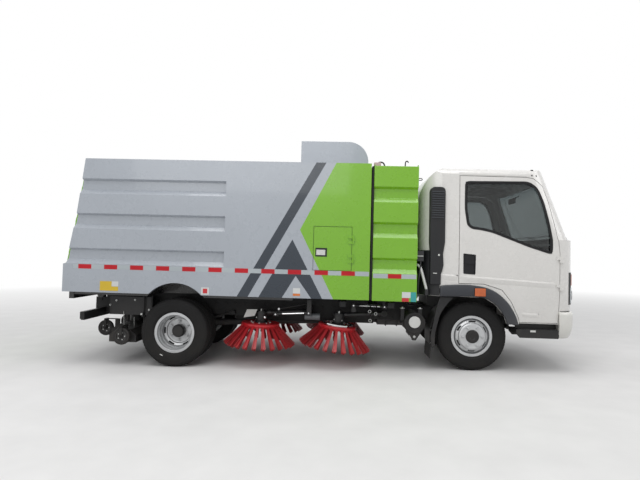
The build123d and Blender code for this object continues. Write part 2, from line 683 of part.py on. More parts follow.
# Cab shell
with BuildPart() as cab_shell:
    add(cab_outer)
    add(cab_inner, mode=Mode.SUBTRACT)
    # everything below the cab's lower edge
    side_prism([(2600, 300), (2600, deck_z[0]), (3459, 832), (3588, 755), (3687, 645), (3719, 549),
                (3843, 549), (3843, 560), (4288, 560), (4292, nose_z[0]), (4700, nose_z[0]), (4700, 300)],
               (-1100, 1100), mode=Mode.SUBTRACT)
    for name, side in sides:
        side_prism(door_line, (side * 600, side * 1100), mode=Mode.SUBTRACT)
    block((2600, 2900), (rail_half + 20, -rail_half - 20), (deck_z[0] - 5, tunnel_top - tunnel_sheet),
          mode=Mode.SUBTRACT)
    add(cab_floor.part)
    # lower halves and pins of the door hinges
    for name, side in sides:
        pin_y = side * (cab_half + cab_hinge_off)
        for low in cab_hinge_z:
            with Locations((cab_hinge_x, pin_y, low + 17)):
                Cylinder(cab_hinge_radius, 34)
            with Locations((cab_hinge_x, pin_y, low + 34)):
                Cylinder(4, 76)
            block((cab_hinge_x, cab_hinge_x + 36), (side * (cab_half - 24), pin_y + side * 4), (low, low + 34))
    # windscreen and rear window
    with BuildSketch(Plane(origin=(4000, 0, 0), x_dir=(0, 1, 0), z_dir=(1, 0, 0))):
        with BuildLine():
            Polyline((-screen_low_half, screen_z[0]), (screen_low_half, screen_z[0]),
                     (screen_high_half, screen_z[1]), (-screen_high_half, screen_z[1]), close=True)
        make_face()
    extrude(amount=800, mode=Mode.SUBTRACT)
    block((2600, 3000), (-rear_glass_half, rear_glass_half), rear_glass_z, mode=Mode.SUBTRACT)
write(cab_shell, "cab_shell")

# Glass of the windscreen and the rear window
glass_layer = cab_solid(glass_depth, 500) - cab_solid(glass_depth + glass_thick, 400)
with BuildPart() as windscreen:
    add(glass_layer)
    with BuildSketch(Plane(origin=(4000, 0, 0), x_dir=(0, 1, 0), z_dir=(1, 0, 0))):
        with BuildLine():
            Polyline((-screen_low_half, screen_z[0]), (screen_low_half, screen_z[0]),
                     (screen_high_half, screen_z[1]), (-screen_high_half, screen_z[1]), close=True)
        make_face()
        offset(amount=-seat_gap, kind=Kind.INTERSECTION, mode=Mode.REPLACE)
    extrude(amount=800, mode=Mode.INTERSECT)
write(windscreen, "windscreen")

with BuildPart() as rear_window:
    block((cab_rear + glass_depth, cab_rear + glass_depth + glass_thick),
          (seat_gap - rear_glass_half, rear_glass_half - seat_gap),
          (rear_glass_z[0] + seat_gap, rear_glass_z[1] - seat_gap))
write(rear_window, "rear_window")

# Cab doors and their glass
for name, side in sides:
    with BuildPart() as cab_door:
        add(cab_outer)
        add(cab_inner, mode=Mode.SUBTRACT)
        with BuildSketch(Plane.XZ.offset(-side * 600)):
            with BuildLine():
                Polyline(*door_line, close=True)
            make_face()
            offset(amount=-door_gap, kind=Kind.INTERSECTION, mode=Mode.REPLACE)
        extrude(amount=-side * 500, mode=Mode.INTERSECT)
        side_prism(window_line, (side * 600, side * 1100), mode=Mode.SUBTRACT)
        side_prism([(3232, 1090), (3360, 1082), (3364, 1300), (3228, 1312)],
                   (side * (cab_half - 14), side * 1100), mode=Mode.SUBTRACT)
        block((3240, 3352), (side * (cab_half - 20), side * (cab_half - 3)), (1205, 1240))
        pin_y = side * (cab_half + cab_hinge_off)
        for low in cab_hinge_z:
            with Locations((cab_hinge_x, pin_y, low + 51 + seat_gap)):
                Cylinder(cab_hinge_radius, 34)
            block((cab_hinge_x - 38, cab_hinge_x), (side * (cab_half - 12), pin_y + side * 4),
                  (low + 34 + seat_gap, low + 68 + seat_gap))
            with Locations((cab_hinge_x, pin_y, low + 51)):
                Cylinder(4 + seat_gap, 60, mode=Mode.SUBTRACT)
    write(cab_door, f"cab_door_{name}")
    with BuildPart() as door_glass:
        add(glass_layer)
        with BuildSketch(Plane.XZ.offset(-side * 600)):
            with BuildLine():
                Polyline(*window_line, close=True)
            make_face()
            offset(amount=-seat_gap, kind=Kind.INTERSECTION, mode=Mode.REPLACE)
        extrude(amount=-side * 500, mode=Mode.INTERSECT)
    write(door_glass, f"door_glass_{name}")
    with BuildPart() as arch_flare:
        side_prism(arch_outer + arch_inner, (side * (cab_half + seat_gap), side * (cab_half + 26)))
    write(arch_flare, f"arch_flare_{name}")

# Engine air intake stack, fitted into the cab's right rear corner
with BuildPart() as air_intake:
    block((2852, 3018), (-780, -962), (1680, 2050))
    block((2856, 2982), (-780, -955), (990, 1690))
    add(cab_solid(-seat_gap, 500), mode=Mode.SUBTRACT)
write(air_intake, "air_intake")

# Dashboard with the steering wheel on the left, and the bench seat
with BuildPart() as dashboard:
    block((4170, 4600), (-880, 880), (1130, 1420))
    block((4270, 4600), (-880, 880), (980, 1140))
    add(cab_solid(cab_sheet + seat_gap, 500), mode=Mode.INTERSECT)
    tube_between((4230, 430, 1290), (3985, 430, 1465), 26)
    with Locations(Location((3975, 430, 1472), (0, -54, 0))):
        Torus(205, 15)
        Cylinder(48, 26)
        Box(36, 400, 14)
write(dashboard, "dashboard")

with BuildPart() as bench:
    for name, side in sides:
        block((3090, 3560), (side * (tunnel_half + 6), side * 850), (deck_z[1] + seat_gap, 1120))
    side_prism([(3060, 1100), (3590, 1115), (3590, 1215), (3130, 1215), (3010, 1830), (2930, 1830),
                (3030, 1200)], (-850, 850))
write(bench, "bench")

# Steering knuckles: king pin, fork, spindle
for name, side in sides:
    with BuildPart() as knuckle:
        with Locations((axle_x, side * king_y, front_wheel_z)):
            Cylinder(16, 112)
        for low in (front_wheel_z - 38 - running_gap - 18, front_wheel_z + 38 + running_gap):
            block((axle_x - 30, axle_x + 30), (side * (king_y - 28), side * (king_y + 62)), (low, low + 18))
        block((axle_x - 48, axle_x + 48), (side * (king_y + 44), side * (king_y + 62)),
              (front_wheel_z - 62, front_wheel_z + 62))
        bar_y(axle_x, front_wheel_z, (side * (king_y + 50), side * (king_y + 78)), 60)
        bar_y(axle_x, front_wheel_z, (side * (king_y + 50), side * (front_track / 2 + disc_offset - 18)), 30)
    write(knuckle, f"knuckle_{name}")

half_tyre = tyre_width / 2
tyre_profile = [
    (-rim_width / 2 + 4, bead_radius + seat_gap), (-rim_width / 2 + 4, flange_radius + 1), (-half_tyre + 6, 248),
    (-half_tyre, 292), (-half_tyre + 2, 340), (-half_tyre + 17, 374), (-half_tyre + 34, tyre_radius - 2),
    (0, tyre_radius), (half_tyre - 34, tyre_radius - 2), (half_tyre - 17, 374), (half_tyre - 2, 340),
    (half_tyre, 292), (half_tyre - 6, 248), (rim_width / 2 - 4, flange_radius + 1), (rim_width / 2 - 4, bead_radius + seat_gap),
]


def rim_ring(middle, outward):
    """Rim band, flanges and dished disc of one wheel, as a (y, radius) outline."""
    half = rim_width / 2
    face = outward * disc_offset
    outline = [
        (-half, flange_radius), (-half + 4 - 0.2, flange_radius), (-half + 4 - 0.2, bead_radius),
        (half - 4 + 0.2, bead_radius), (half - 4 + 0.2, flange_radius), (half, flange_radius),
        (half, bead_radius - rim_sheet), (-half, bead_radius - rim_sheet),
    ]
    turned([(middle + y, r) for y, r in outline], 0, 0)
    back = face - outward * 9
    dish = [(outward * 30, bead_radius - 3), (outward * 46, bead_radius - 3), (face - outward * 12, 150),
            (face, 134), (face, 40), (back, 40), (back, 130), (back - outward * 14, 144)]
    turned([(middle + y, r) for y, r in dish], 0, 0)


# Wheels are drawn around the origin, then moved to their axle
front_y = front_track / 2
for name, side in sides:
    with BuildPart() as front_tyre:
        turned([(side * front_y + y, r) for y, r in tyre_profile], axle_x, front_wheel_z)
    write(front_tyre, f"front_tyre_{name}")
    with BuildPart() as front_rim:
        rim_ring(side * front_y, side)
        bar_y(0, 0, (side * (king_y + 78 + seat_gap), side * (front_y + disc_offset - 2)), 62)
        bar_y(0, 0, (side * (king_y + 70), side * (front_y + disc_offset - 17)), 30 + seat_gap, mode=Mode.SUBTRACT)
        bar_y(0, 0, (side * (front_y + disc_offset - 2), side * (front_y + disc_offset + 12)), hub_cap_radius)
        for index in range(hand_holes):
            angle = radians((index + 0.5) * 360 / hand_holes)
            with Locations(Location((hand_hole_circle * cos(angle), side * (front_y + 70),
                                     hand_hole_circle * sin(angle)), (90, 0, 0))):
                Cylinder(hand_hole_radius, 90, mode=Mode.SUBTRACT)
    front_rim.part = Location((axle_x, 0, front_wheel_z)) * front_rim.part
    write(front_rim, f"front_rim_{name}")
    for which, sign in (("outer", 1), ("inner", -1)):
        with BuildPart() as rear_tyre:
            middle = side * (rear_track / 2 + sign * twin_spacing / 2)
            turned([(middle + y, r) for y, r in tyre_profile], 0, rear_wheel_z)
        write(rear_tyre, f"rear_tyre_{which}_{name}")
    with BuildPart() as rear_rims:
        rim_ring(side * (rear_track / 2 + twin_spacing / 2), -side)
        rim_ring(side * (rear_track / 2 - twin_spacing / 2), side)
        bar_y(0, 0, (side * (640 + seat_gap), side * 800), 78)
        bar_y(0, 0, (side * 630, side * (760 + seat_gap)), 44 + seat_gap, mode=Mode.SUBTRACT)
        for index in range(hand_holes):
            angle = radians(index * 360 / hand_holes)
            with Locations(Location((hand_hole_circle * cos(angle), side * (rear_track / 2 + 50),
                                     hand_hole_circle * sin(angle)), (90, 0, 0))):
                Cylinder(hand_hole_radius, 90, mode=Mode.SUBTRACT)
    rear_rims.part = Location((0, 0, rear_wheel_z)) * rear_rims.part
    write(rear_rims, f"rear_rims_{name}")

# Side brooms and their arms
for which, x, tilt in brooms:
    for name, side in sides:
        seat = Location((x, side * broom_y, broom_z), (0, tilt, 0))
        with BuildPart() as broom:
            Cylinder(broom_plate_radius, 22)
            with Locations((0, 0, 20)):
                Cylinder(70, 30)
            for index in range(broom_tufts):
                angle = radians(index * 360 / broom_tufts)
                start = (196 * cos(angle), 196 * sin(angle), -6)
                reach = broom_tip_radius - 17
                end = (reach * cos(angle), reach * sin(angle), -broom_drop + 11)
                run = Vector(*end) - Vector(*start)
                with BuildSketch(Plane(origin=start, z_dir=run.normalized())):
                    RegularPolygon(17, 6)
                extrude(amount=run.length)
        broom.part = seat * broom.part
        write(broom, f"broom_{which}_{name}")
        with BuildPart() as broom_arm:
            with Locations((0, 0, 35 + seat_gap + 55)):
                Cylinder(62, 110)
            broom_arm.part = seat * broom_arm.part
            tube_between((x, side * broom_y, arm_z - 22), (x + arm_reach, side * arm_y, arm_z), 27)
            bar_y(x + arm_reach, arm_z, (side * (arm_y - arm_boss / 2), side * (arm_y + arm_boss / 2)), 34)
            bar_y(x + arm_reach, arm_z, (side * (arm_y - arm_boss / 2 - 1), side * (arm_y + arm_boss / 2 + 1)),
                  arm_pin + seat_gap, mode=Mode.SUBTRACT)
        write(broom_arm, f"broom_arm_{which}_{name}")

# Suction nozzle with its pipe and lifting rods, and the caster wheels
with BuildPart() as nozzle:
    side_prism([(nozzle_x[0], nozzle_z[0]), (nozzle_x[0], nozzle_z[1] - 60), (-880, nozzle_z[1]),
                (-560, nozzle_z[1]), (nozzle_x[1], nozzle_z[1] - 60), (nozzle_x[1], nozzle_z[0])],
               (-nozzle_half, nozzle_half))
    inside = nozzle_sheet
    side_prism([(nozzle_x[0] + inside, nozzle_z[0] - 5), (nozzle_x[0] + inside, nozzle_z[1] - 64), (-876, nozzle_z[1] - 10),
                (-564, nozzle_z[1] - 10), (nozzle_x[1] - inside, nozzle_z[1] - 64), (nozzle_x[1] - inside, nozzle_z[0] - 5)],
               (inside - nozzle_half, nozzle_half - inside), mode=Mode.SUBTRACT)
    with Locations((suction_x, 0, (nozzle_z[1] + 733) / 2 - 4)):
        Cylinder(suction_radius, 733 - nozzle_z[1] + 8)
        Cylinder(suction_radius - 10, 733 - nozzle_z[1] + 40, mode=Mode.SUBTRACT)
    for name, side in sides:
        with Locations((guide_x, side * guide_y, (nozzle_z[1] + 725) / 2 - 4)):
            Cylinder(guide_rod, 725 - nozzle_z[1] + 8)
        for which, x, y in casters:
            arm_x = nozzle_x[0] + 5 if which == "rear" else x
            bar_y(x, caster_z, (side * (y - 36), side * (y + 36)), caster_pin)
            for edge in (-36, 30):
                block((x - 14, x + 14), (side * (y + edge), side * (y + edge + 6)), (caster_z - 14, caster_z + 112))
            block((x - 14, x + 14), (side * (y - 36), side * (y + 36)), (caster_z + 104, caster_z + 118))
            if which == "rear":
                block((x - 14, nozzle_x[0] + 60), (side * (y - 12), side * (y + 12)), (caster_z + 108, caster_z + 118))
                block((nozzle_x[0] + 2, nozzle_x[0] + 60), (side * (y - 12), side * (y + 12)), (270, caster_z + 118))
            else:
                block((x - 14, x + 14), (side * (nozzle_half - 60), side * (y - 30)), (caster_z + 104, caster_z + 118))
                block((x - 14, x + 14), (side * (nozzle_half - 60), side * (nozzle_half - 30)), (322, caster_z + 118))
write(nozzle, "nozzle")

for name, side in sides:
    for which, x, y in casters:
        with BuildPart() as caster:
            bar_y(x, caster_z, (side * (y - caster_width / 2), side * (y + caster_width / 2)), caster_radius)
            bar_y(x, caster_z, (side * (y - 29.8), side * (y + 29.8)), 24)
            bar_y(x, caster_z, (side * (y - 40), side * (y + 40)), caster_pin + seat_gap, mode=Mode.SUBTRACT)
        write(caster, f"caster_{which}_{name}")
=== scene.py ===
import json
from math import atan2, cos, pi, radians, sin, sqrt, tan

import bmesh
import bpy
from mathutils import Matrix, Vector

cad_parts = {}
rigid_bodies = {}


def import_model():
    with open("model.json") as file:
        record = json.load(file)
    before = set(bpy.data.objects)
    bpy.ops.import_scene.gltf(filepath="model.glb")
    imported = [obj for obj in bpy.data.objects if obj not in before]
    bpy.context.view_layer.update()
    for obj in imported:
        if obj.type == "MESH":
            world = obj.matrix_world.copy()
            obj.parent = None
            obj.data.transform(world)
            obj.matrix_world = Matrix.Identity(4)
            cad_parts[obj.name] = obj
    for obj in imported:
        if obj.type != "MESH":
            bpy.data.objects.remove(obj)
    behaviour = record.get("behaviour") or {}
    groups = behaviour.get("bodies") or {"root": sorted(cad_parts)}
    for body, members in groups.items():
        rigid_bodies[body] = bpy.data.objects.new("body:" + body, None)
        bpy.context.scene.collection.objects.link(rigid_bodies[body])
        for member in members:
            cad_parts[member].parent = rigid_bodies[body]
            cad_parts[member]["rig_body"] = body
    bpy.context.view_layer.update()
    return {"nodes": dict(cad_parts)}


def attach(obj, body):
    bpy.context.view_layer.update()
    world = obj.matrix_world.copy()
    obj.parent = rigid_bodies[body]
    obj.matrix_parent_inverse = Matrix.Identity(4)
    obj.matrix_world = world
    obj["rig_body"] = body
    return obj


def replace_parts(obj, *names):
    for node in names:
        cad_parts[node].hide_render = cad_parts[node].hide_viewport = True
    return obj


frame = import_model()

# The camera stands across the road from the truck's right side, a little ahead of its middle and at
# chest height. It looks slightly left and up, and leans by half a degree.
eye = Vector((0.1954, -6.337, 1.2711))
look_left, look_up, lean = 0.0378, 0.0333, 0.010
camera = bpy.data.objects.new("camera", bpy.data.cameras.new("camera"))
camera.data.lens = 27
camera.data.sensor_width = 36
ahead = Vector((-sin(look_left) * cos(look_up), cos(look_left) * cos(look_up), sin(look_up)))
across = Vector((cos(look_left), sin(look_left), 0))
above = across.cross(ahead)
picture_right = cos(lean) * across + sin(lean) * above
picture_up = cos(lean) * above - sin(lean) * across
camera.matrix_world = (Matrix.Translation(eye)
                       @ Matrix((picture_right, picture_up, -ahead)).transposed().to_4x4())
bpy.context.scene.collection.objects.link(camera)
bpy.context.scene.camera = camera
bpy.context.scene.view_settings.view_transform = "Standard"


# The floor is a plain pale sheet that runs out to white far from the truck. The sky is an even soft
# white dome, and four large soft boxes light the roof, the camera's side, the nose and the far side.
def add(tree, kind, *inputs, **settings):
    """Adds a node and gives its first output. Inputs are fed in order; capitals name an input."""
    node = tree.nodes.new(kind)
    fed = []
    for key, value in settings.items():
        if key[0].isupper():
            fed.append((key, value))
        else:
            setattr(node, key, value)
    for socket, value in list(zip(node.inputs, inputs)) + [(node.inputs[k], v) for k, v in fed]:
        if isinstance(value, bpy.types.NodeSocket):
            tree.links.new(value, socket)
        elif value is not None:
            socket.default_value = value
    return node.outputs[0]


def maths(tree, operation, *inputs):
    """One step of arithmetic in a tree."""
    return add(tree, "ShaderNodeMath", *inputs, operation=operation)


def new_finish(name, roughness, metallic=0.0, coat=0.0, shine=0.5):
    """A material with its shader, whose uniform numbers are set on the shader itself."""
    finish = bpy.data.materials.new(name)
    finish.use_nodes = True
    shader = finish.node_tree.nodes["Principled BSDF"]
    shader.inputs["Roughness"].default_value = roughness
    shader.inputs["Metallic"].default_value = metallic
    shader.inputs["Coat Weight"].default_value = coat
    shader.inputs["Coat Roughness"].default_value = 0.06
    shader.inputs["Specular IOR Level"].default_value = shine
    return finish, finish.node_tree, shader


floor_grey = (0.72, 0.71, 0.70, 1)
floor_reach = 60.0
fade_from, fade_to = 5.0, 16.0
floor_finish, tree, shader = new_finish("pale_floor", 0.8)
where = add(tree, "ShaderNodeTexCoord").node.outputs["Object"]
speckle = add(tree, "ShaderNodeTexNoise", where, None, 3.0, 6.0)
add_to = add(tree, "ShaderNodeMapRange", speckle, 0.3, 0.7, 0.94, 1.0)
tree.links.new(add(tree, "ShaderNodeMixRGB", 1.0, floor_grey, add_to, blend_type="MULTIPLY"),
               shader.inputs["Base Color"])
distance = add(tree, "ShaderNodeVectorMath", where, operation="LENGTH").node.outputs["Value"]
far_off = add(tree, "ShaderNodeMapRange", distance, fade_from, fade_to, 0.0, 1.0)
white = add(tree, "ShaderNodeEmission", (1, 1, 1, 1), 1.0)
tree.links.new(add(tree, "ShaderNodeMixShader", far_off, shader.outputs[0], white),
               tree.nodes["Material Output"].inputs["Surface"])
shape = bmesh.new()
bmesh.ops.create_circle(shape, cap_ends=True, segments=64, radius=floor_reach)
mesh = bpy.data.meshes.new("floor")
shape.to_mesh(mesh)
mesh.materials.append(floor_finish)
floor = bpy.data.objects.new("floor", mesh)
bpy.context.scene.collection.objects.link(floor)

sky_colour, sky_level = (0.93, 0.96, 1.0, 1), 0.38
world = bpy.data.worlds.new("soft_dome")
bpy.context.scene.world = world
world.use_nodes = True
tree = world.node_tree
rays = add(tree, "ShaderNodeLightPath").node.outputs
seen = maths(tree, "MAXIMUM", rays["Is Camera Ray"], rays["Is Glossy Ray"])
seen = maths(tree, "MAXIMUM", seen, rays["Is Transmission Ray"])
dome = add(tree, "ShaderNodeBackground", sky_colour, sky_level)
plain_white = add(tree, "ShaderNodeBackground", (1, 1, 1, 1), 1.0)
tree.links.new(add(tree, "ShaderNodeMixShader", seen, dome, plain_white),
               tree.nodes["World Output"].inputs["Surface"])
soft_boxes = [                   # name, place, aim, size in metres, watts
    ("roof_box", (0.0, -3.0, 10.0), (0.0, -0.5, 0.0), 8.0, 610),
    ("side_box", (-2.5, -10.0, 6.5), (0.0, 0.0, 1.0), 7.0, 330),
    ("nose_box", (11.0, -2.5, 6.5), (1.5, 0.0, 1.0), 6.0, 270),
    ("back_box", (-8.5, 8.5, 7.0), (0.0, 0.0, 1.0), 7.0, 270),
]
for name, place, aim, size, watts in soft_boxes:
    lamp = bpy.data.objects.new(name, bpy.data.lights.new(name, "AREA"))
    lamp.data.size = size
    lamp.data.energy = watts
    lamp.location = place
    lamp.rotation_euler = (Vector(aim) - Vector(place)).to_track_quat("-Z", "Y").to_euler()
    bpy.context.scene.collection.objects.link(lamp)


# The ladder frame, its subframe and both axles are welded and pressed steel in satin black paint,
# with road dust low down. Bolt heads run along the rails, and U-bolts hold the leaf springs.
rake = radians(0.92)
front_axle_x, tyre_radius = 3.36, 0.385
middle_x = 1.653                 # from the rear axle to the middle of the truck
stance = (Matrix.Translation((front_axle_x - middle_x, 0, tyre_radius))
          @ Matrix.Rotation(rake, 4, "Y")
          @ Matrix.Translation((-front_axle_x, 0, -tyre_radius)))
sides = (("right", -1), ("left", 1))
dust_colour = (0.19, 0.165, 0.135, 1)


def weather(tree, shader, colour, spread=0.12, roughness=0.4, grain=60.0, height=0.0004, dust=0.3,
            dust_top=0.9):
    """Mottles a colour, lays dust low down, and gives the surface its roughness and fine grain."""
    where = add(tree, "ShaderNodeTexCoord").node.outputs["Object"]
    cloud = add(tree, "ShaderNodeTexNoise", where, None, 1.7, 5.0, 0.6)
    tone = add(tree, "ShaderNodeMapRange", cloud, 0.32, 0.68, 1 - spread, 1.0)
    shade = add(tree, "ShaderNodeMixRGB", 1.0, colour, tone, blend_type="MULTIPLY")
    low = add(tree, "ShaderNodeSeparateXYZ", where).node.outputs["Z"]
    depth = add(tree, "ShaderNodeMapRange", low, dust_top, 0.25, 0.0, dust)
    patch = add(tree, "ShaderNodeTexNoise", where, None, 9.0, 6.0, 0.65)
    patch = add(tree, "ShaderNodeMapRange", patch, 0.35, 0.65, 0.25, 1.0)
    depth = maths(tree, "MULTIPLY", depth, patch)
    dusty = add(tree, "ShaderNodeMixRGB", depth, shade, dust_colour)
    tree.links.new(dusty, shader.inputs["Base Color"])
    fine = add(tree, "ShaderNodeTexNoise", where, None, grain, 3.0, 0.6)
    sheen = add(tree, "ShaderNodeMapRange", patch, 0.25, 1.0, roughness - 0.03, roughness + 0.05)
    tree.links.new(sheen, shader.inputs["Roughness"])
    bump = add(tree, "ShaderNodeBump", Strength=0.5, Distance=height, Height=fine)
    tree.links.new(bump, shader.inputs["Normal"])


def painted(name, colour, roughness=0.3, coat=0.35, metallic=0.0, shine=0.5, **look):
    """A material of one weathered colour: paint, rubber, plastic or cloth."""
    finish, tree, shader = new_finish(name, roughness, metallic, coat, shine)
    weather(tree, shader, colour, roughness=roughness, **look)
    return finish


def rounded(node, finish, width=0.002, segments=2, crease=32):
    """Stands a merged copy with eased edges in for a CAD node."""
    source = frame["nodes"][node]
    shape = bmesh.new()
    shape.from_mesh(source.data)
    bmesh.ops.remove_doubles(shape, verts=shape.verts, dist=0.00002)
    bmesh.ops.dissolve_limit(shape, angle_limit=radians(0.2), verts=shape.verts, edges=shape.edges,
                             delimit={"NORMAL"})
    mesh = bpy.data.meshes.new(node + "_eased")
    shape.to_mesh(mesh)
    shape.free()
    copy = hang(mesh, node + "_eased", source["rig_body"], [finish], width, segments, crease)
    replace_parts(copy, node)
    return copy


def hang(mesh, name, body, finishes, width=0.0, segments=2, crease=32):
    """Makes a mesh a piece that rides on a body, smooth between its creases, with eased edges."""
    for finish in finishes:
        mesh.materials.append(finish)
    mesh.shade_smooth()
    mesh.set_sharp_from_angle(angle=radians(crease))
    thing = bpy.data.objects.new(name, mesh)
    bpy.context.scene.collection.objects.link(thing)
    if width:
        eased = thing.modifiers.new("eased_edges", "BEVEL")
        eased.width = width
        eased.segments = segments
        eased.limit_method = "ANGLE"
        eased.angle_limit = radians(crease)
        level = thing.modifiers.new("even_light", "WEIGHTED_NORMAL")
        level.keep_sharp = True
    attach(thing, body)
    return thing


def piece(name, body, slot, *parts, width=0.0, crease=32, segments=2):
    """Stands drawn shapes, each with its finish, on the road as one piece."""
    whole = bmesh.new()
    for index, (shape, finish) in enumerate(parts):
        bmesh.ops.recalc_face_normals(shape, faces=shape.faces)
        for face in shape.faces:
            face.material_index = index
        part = bpy.data.meshes.new(name)
        shape.to_mesh(part)
        shape.free()
        whole.from_mesh(part)
        bpy.data.meshes.remove(part)
    bmesh.ops.transform(whole, matrix=stance, verts=whole.verts)
    mesh = bpy.data.meshes.new(name)
    whole.to_mesh(mesh)
    whole.free()
    thing = hang(mesh, name, body, [finish for shape, finish in parts], width, segments, crease)
    return thing


def skinned(shape, rows, closed=True, capped=True, looped=False):
    """Joins rows of points into a skin. Rows close on themselves; ends are capped or loop round."""
    rows = [[shape.verts.new(point) for point in row] for row in rows]
    count = len(rows[0])
    for here, there in zip(rows, rows[1:] + (rows[:1] if looped else [])):
        for i in range(count if closed else count - 1):
            j = (i + 1) % count
            shape.faces.new((here[i], here[j], there[j], there[i]))
    if capped:
        shape.faces.new(rows[0])
        shape.faces.new(rows[-1])
    return [vert for row in rows for vert in row]


def prism(shape, outline, near, far, plane="xz"):
    """Extrudes an outline, drawn in side view (xz), plan (xy) or end view (yz), from near to far."""
    place = {"xz": lambda u, v, w: (u, w, v), "xy": lambda u, v, w: (u, v, w),
             "yz": lambda u, v, w: (w, u, v)}[plane]
    skinned(shape, [[place(u, v, w) for u, v in outline] for w in (near, far)])


def blocks(shape, side, *ranges):
    """Blocks, each by its ranges along X, outwards on a side of the truck, and along Z."""
    for x0, x1, y0, y1, z0, z1 in ranges:
        prism(shape, [(x0, z0), (x1, z0), (x1, z1), (x0, z1)], side * y0, side * y1)


def turned(shape, profile, centre=(0, 0, 0), axis="y", count=48, closed=None):
    """Turns a profile of (along the axis, radius). It closes on itself unless an end is on the axis."""
    place = {"x": lambda a, r, t: (a, r * cos(t), r * sin(t)),
             "y": lambda a, r, t: (r * cos(t), a, r * sin(t)),
             "z": lambda a, r, t: (r * cos(t), r * sin(t), a)}[axis]
    if closed is None:
        closed = profile[0][1] > 0 and profile[-1][1] > 0
    rings = [[Vector(centre) + Vector(place(a, r, 2 * pi * k / count)) for a, r in profile]
             for k in range(count)]
    verts = skinned(shape, rings, closed, capped=False, looped=True)
    bmesh.ops.remove_doubles(shape, verts=verts, dist=1e-6)


def disc(shape, low, high, radius, centre=(0, 0, 0), axis="y", count=32):
    """A round plug between two places along its axis."""
    turned(shape, [(low, 0), (low, radius), (high, radius), (high, 0)], centre, axis, count)


def pipe(shape, points, radius, count=10, order=3):
    """A round bar or pipe along a smooth line through its points."""
    curve = bpy.data.curves.new("line", "CURVE")
    curve.dimensions = "3D"
    curve.bevel_depth = radius
    curve.bevel_resolution = max(1, count // 4 - 1)
    curve.use_fill_caps = True
    curve.resolution_u = 6
    spline = curve.splines.new("NURBS" if order > 2 else "POLY")
    spline.points.add(len(points) - 1)
    for point, spot in zip(spline.points, points):
        point.co = (*spot, 1)
    if order > 2:
        spline.order_u = order
        spline.use_endpoint_u = True
    line = bpy.data.objects.new("line", curve)
    made = bpy.data.meshes.new_from_object(line)
    part = bmesh.new()
    part.from_mesh(made)
    bmesh.ops.remove_doubles(part, verts=part.verts, dist=1e-6)
    part.to_mesh(made)
    part.free()
    shape.from_mesh(made)
    bpy.data.objects.remove(line)
    bpy.data.curves.remove(curve)
    bpy.data.meshes.remove(made)


def new_tree(name, sockets):
    """A geometry tree with named inputs and one output, and the node that holds its inputs."""
    tree = bpy.data.node_groups.new(name, "GeometryNodeTree")
    for label, kind, start in sockets:
        socket = tree.interface.new_socket(label, in_out="INPUT", socket_type="NodeSocket" + kind)
        if start is not None:
            socket.default_value = start
    tree.interface.new_socket("Shape", in_out="OUTPUT", socket_type="NodeSocketGeometry")
    return tree, tree.nodes.new("NodeGroupInput").outputs


def close_tree(tree, given, placed):
    """Ends a tree: the copies become real mesh and take their finish."""
    real = add(tree, "GeometryNodeRealizeInstances", placed)
    done = add(tree, "GeometryNodeSetMaterial", real, Material=given["Finish"])
    tree.links.new(done, tree.nodes.new("NodeGroupOutput").inputs[0])


row_tree, given = new_tree("copies_in_a_row", [
    ("Shape", "Geometry", None), ("Count", "Int", 2), ("Step", "Vector", (0.1, 0, 0)),
    ("Finish", "Material", None)])
offset = add(row_tree, "ShaderNodeVectorMath", given["Step"], Scale=add(row_tree, "GeometryNodeInputIndex"),
             operation="SCALE")
spots = add(row_tree, "GeometryNodePoints", given["Count"], offset)
close_tree(row_tree, given, add(row_tree, "GeometryNodeInstanceOnPoints", spots, Instance=given["Shape"]))


def repeated(tree, shape, finish, **inputs):
    """Runs a geometry tree on a drawn shape, and gives the plain result with its finish."""
    mesh = bpy.data.meshes.new("unit")
    bmesh.ops.recalc_face_normals(shape, faces=shape.faces)
    shape.to_mesh(mesh)
    shape.free()
    unit = bpy.data.objects.new("unit", mesh)
    bpy.context.scene.collection.objects.link(unit)
    maker = unit.modifiers.new("maker", "NODES")
    maker.node_group = tree
    for item in tree.interface.items_tree:
        if item.in_out == "INPUT" and item.name in inputs:
            maker[item.identifier] = inputs[item.name]
        if item.in_out == "INPUT" and item.name == "Finish":
            maker[item.identifier] = finish
    made = bpy.data.meshes.new_from_object(unit.evaluated_get(bpy.context.evaluated_depsgraph_get()))
    result = bmesh.new()
    result.from_mesh(made)
    unit.modifiers.remove(maker)
    bpy.data.objects.remove(unit)
    bpy.data.meshes.remove(mesh)
    bpy.data.meshes.remove(made)
    return result, finish


def hex_head(shape, radius, low, high, centre=(0, 0, 0), axis="y"):
    """A hexagon bolt head or nut with a chamfered end, on its washer."""
    washer, shoulder = low + (high - low) * 0.18, low + (high - low) * 0.85
    disc(shape, low, washer, radius * 1.3, centre, axis, 12)
    turned(shape, [(washer, 0), (washer, radius), (shoulder, radius), (high, radius * 0.82), (high, 0)],
           centre, axis, 6)


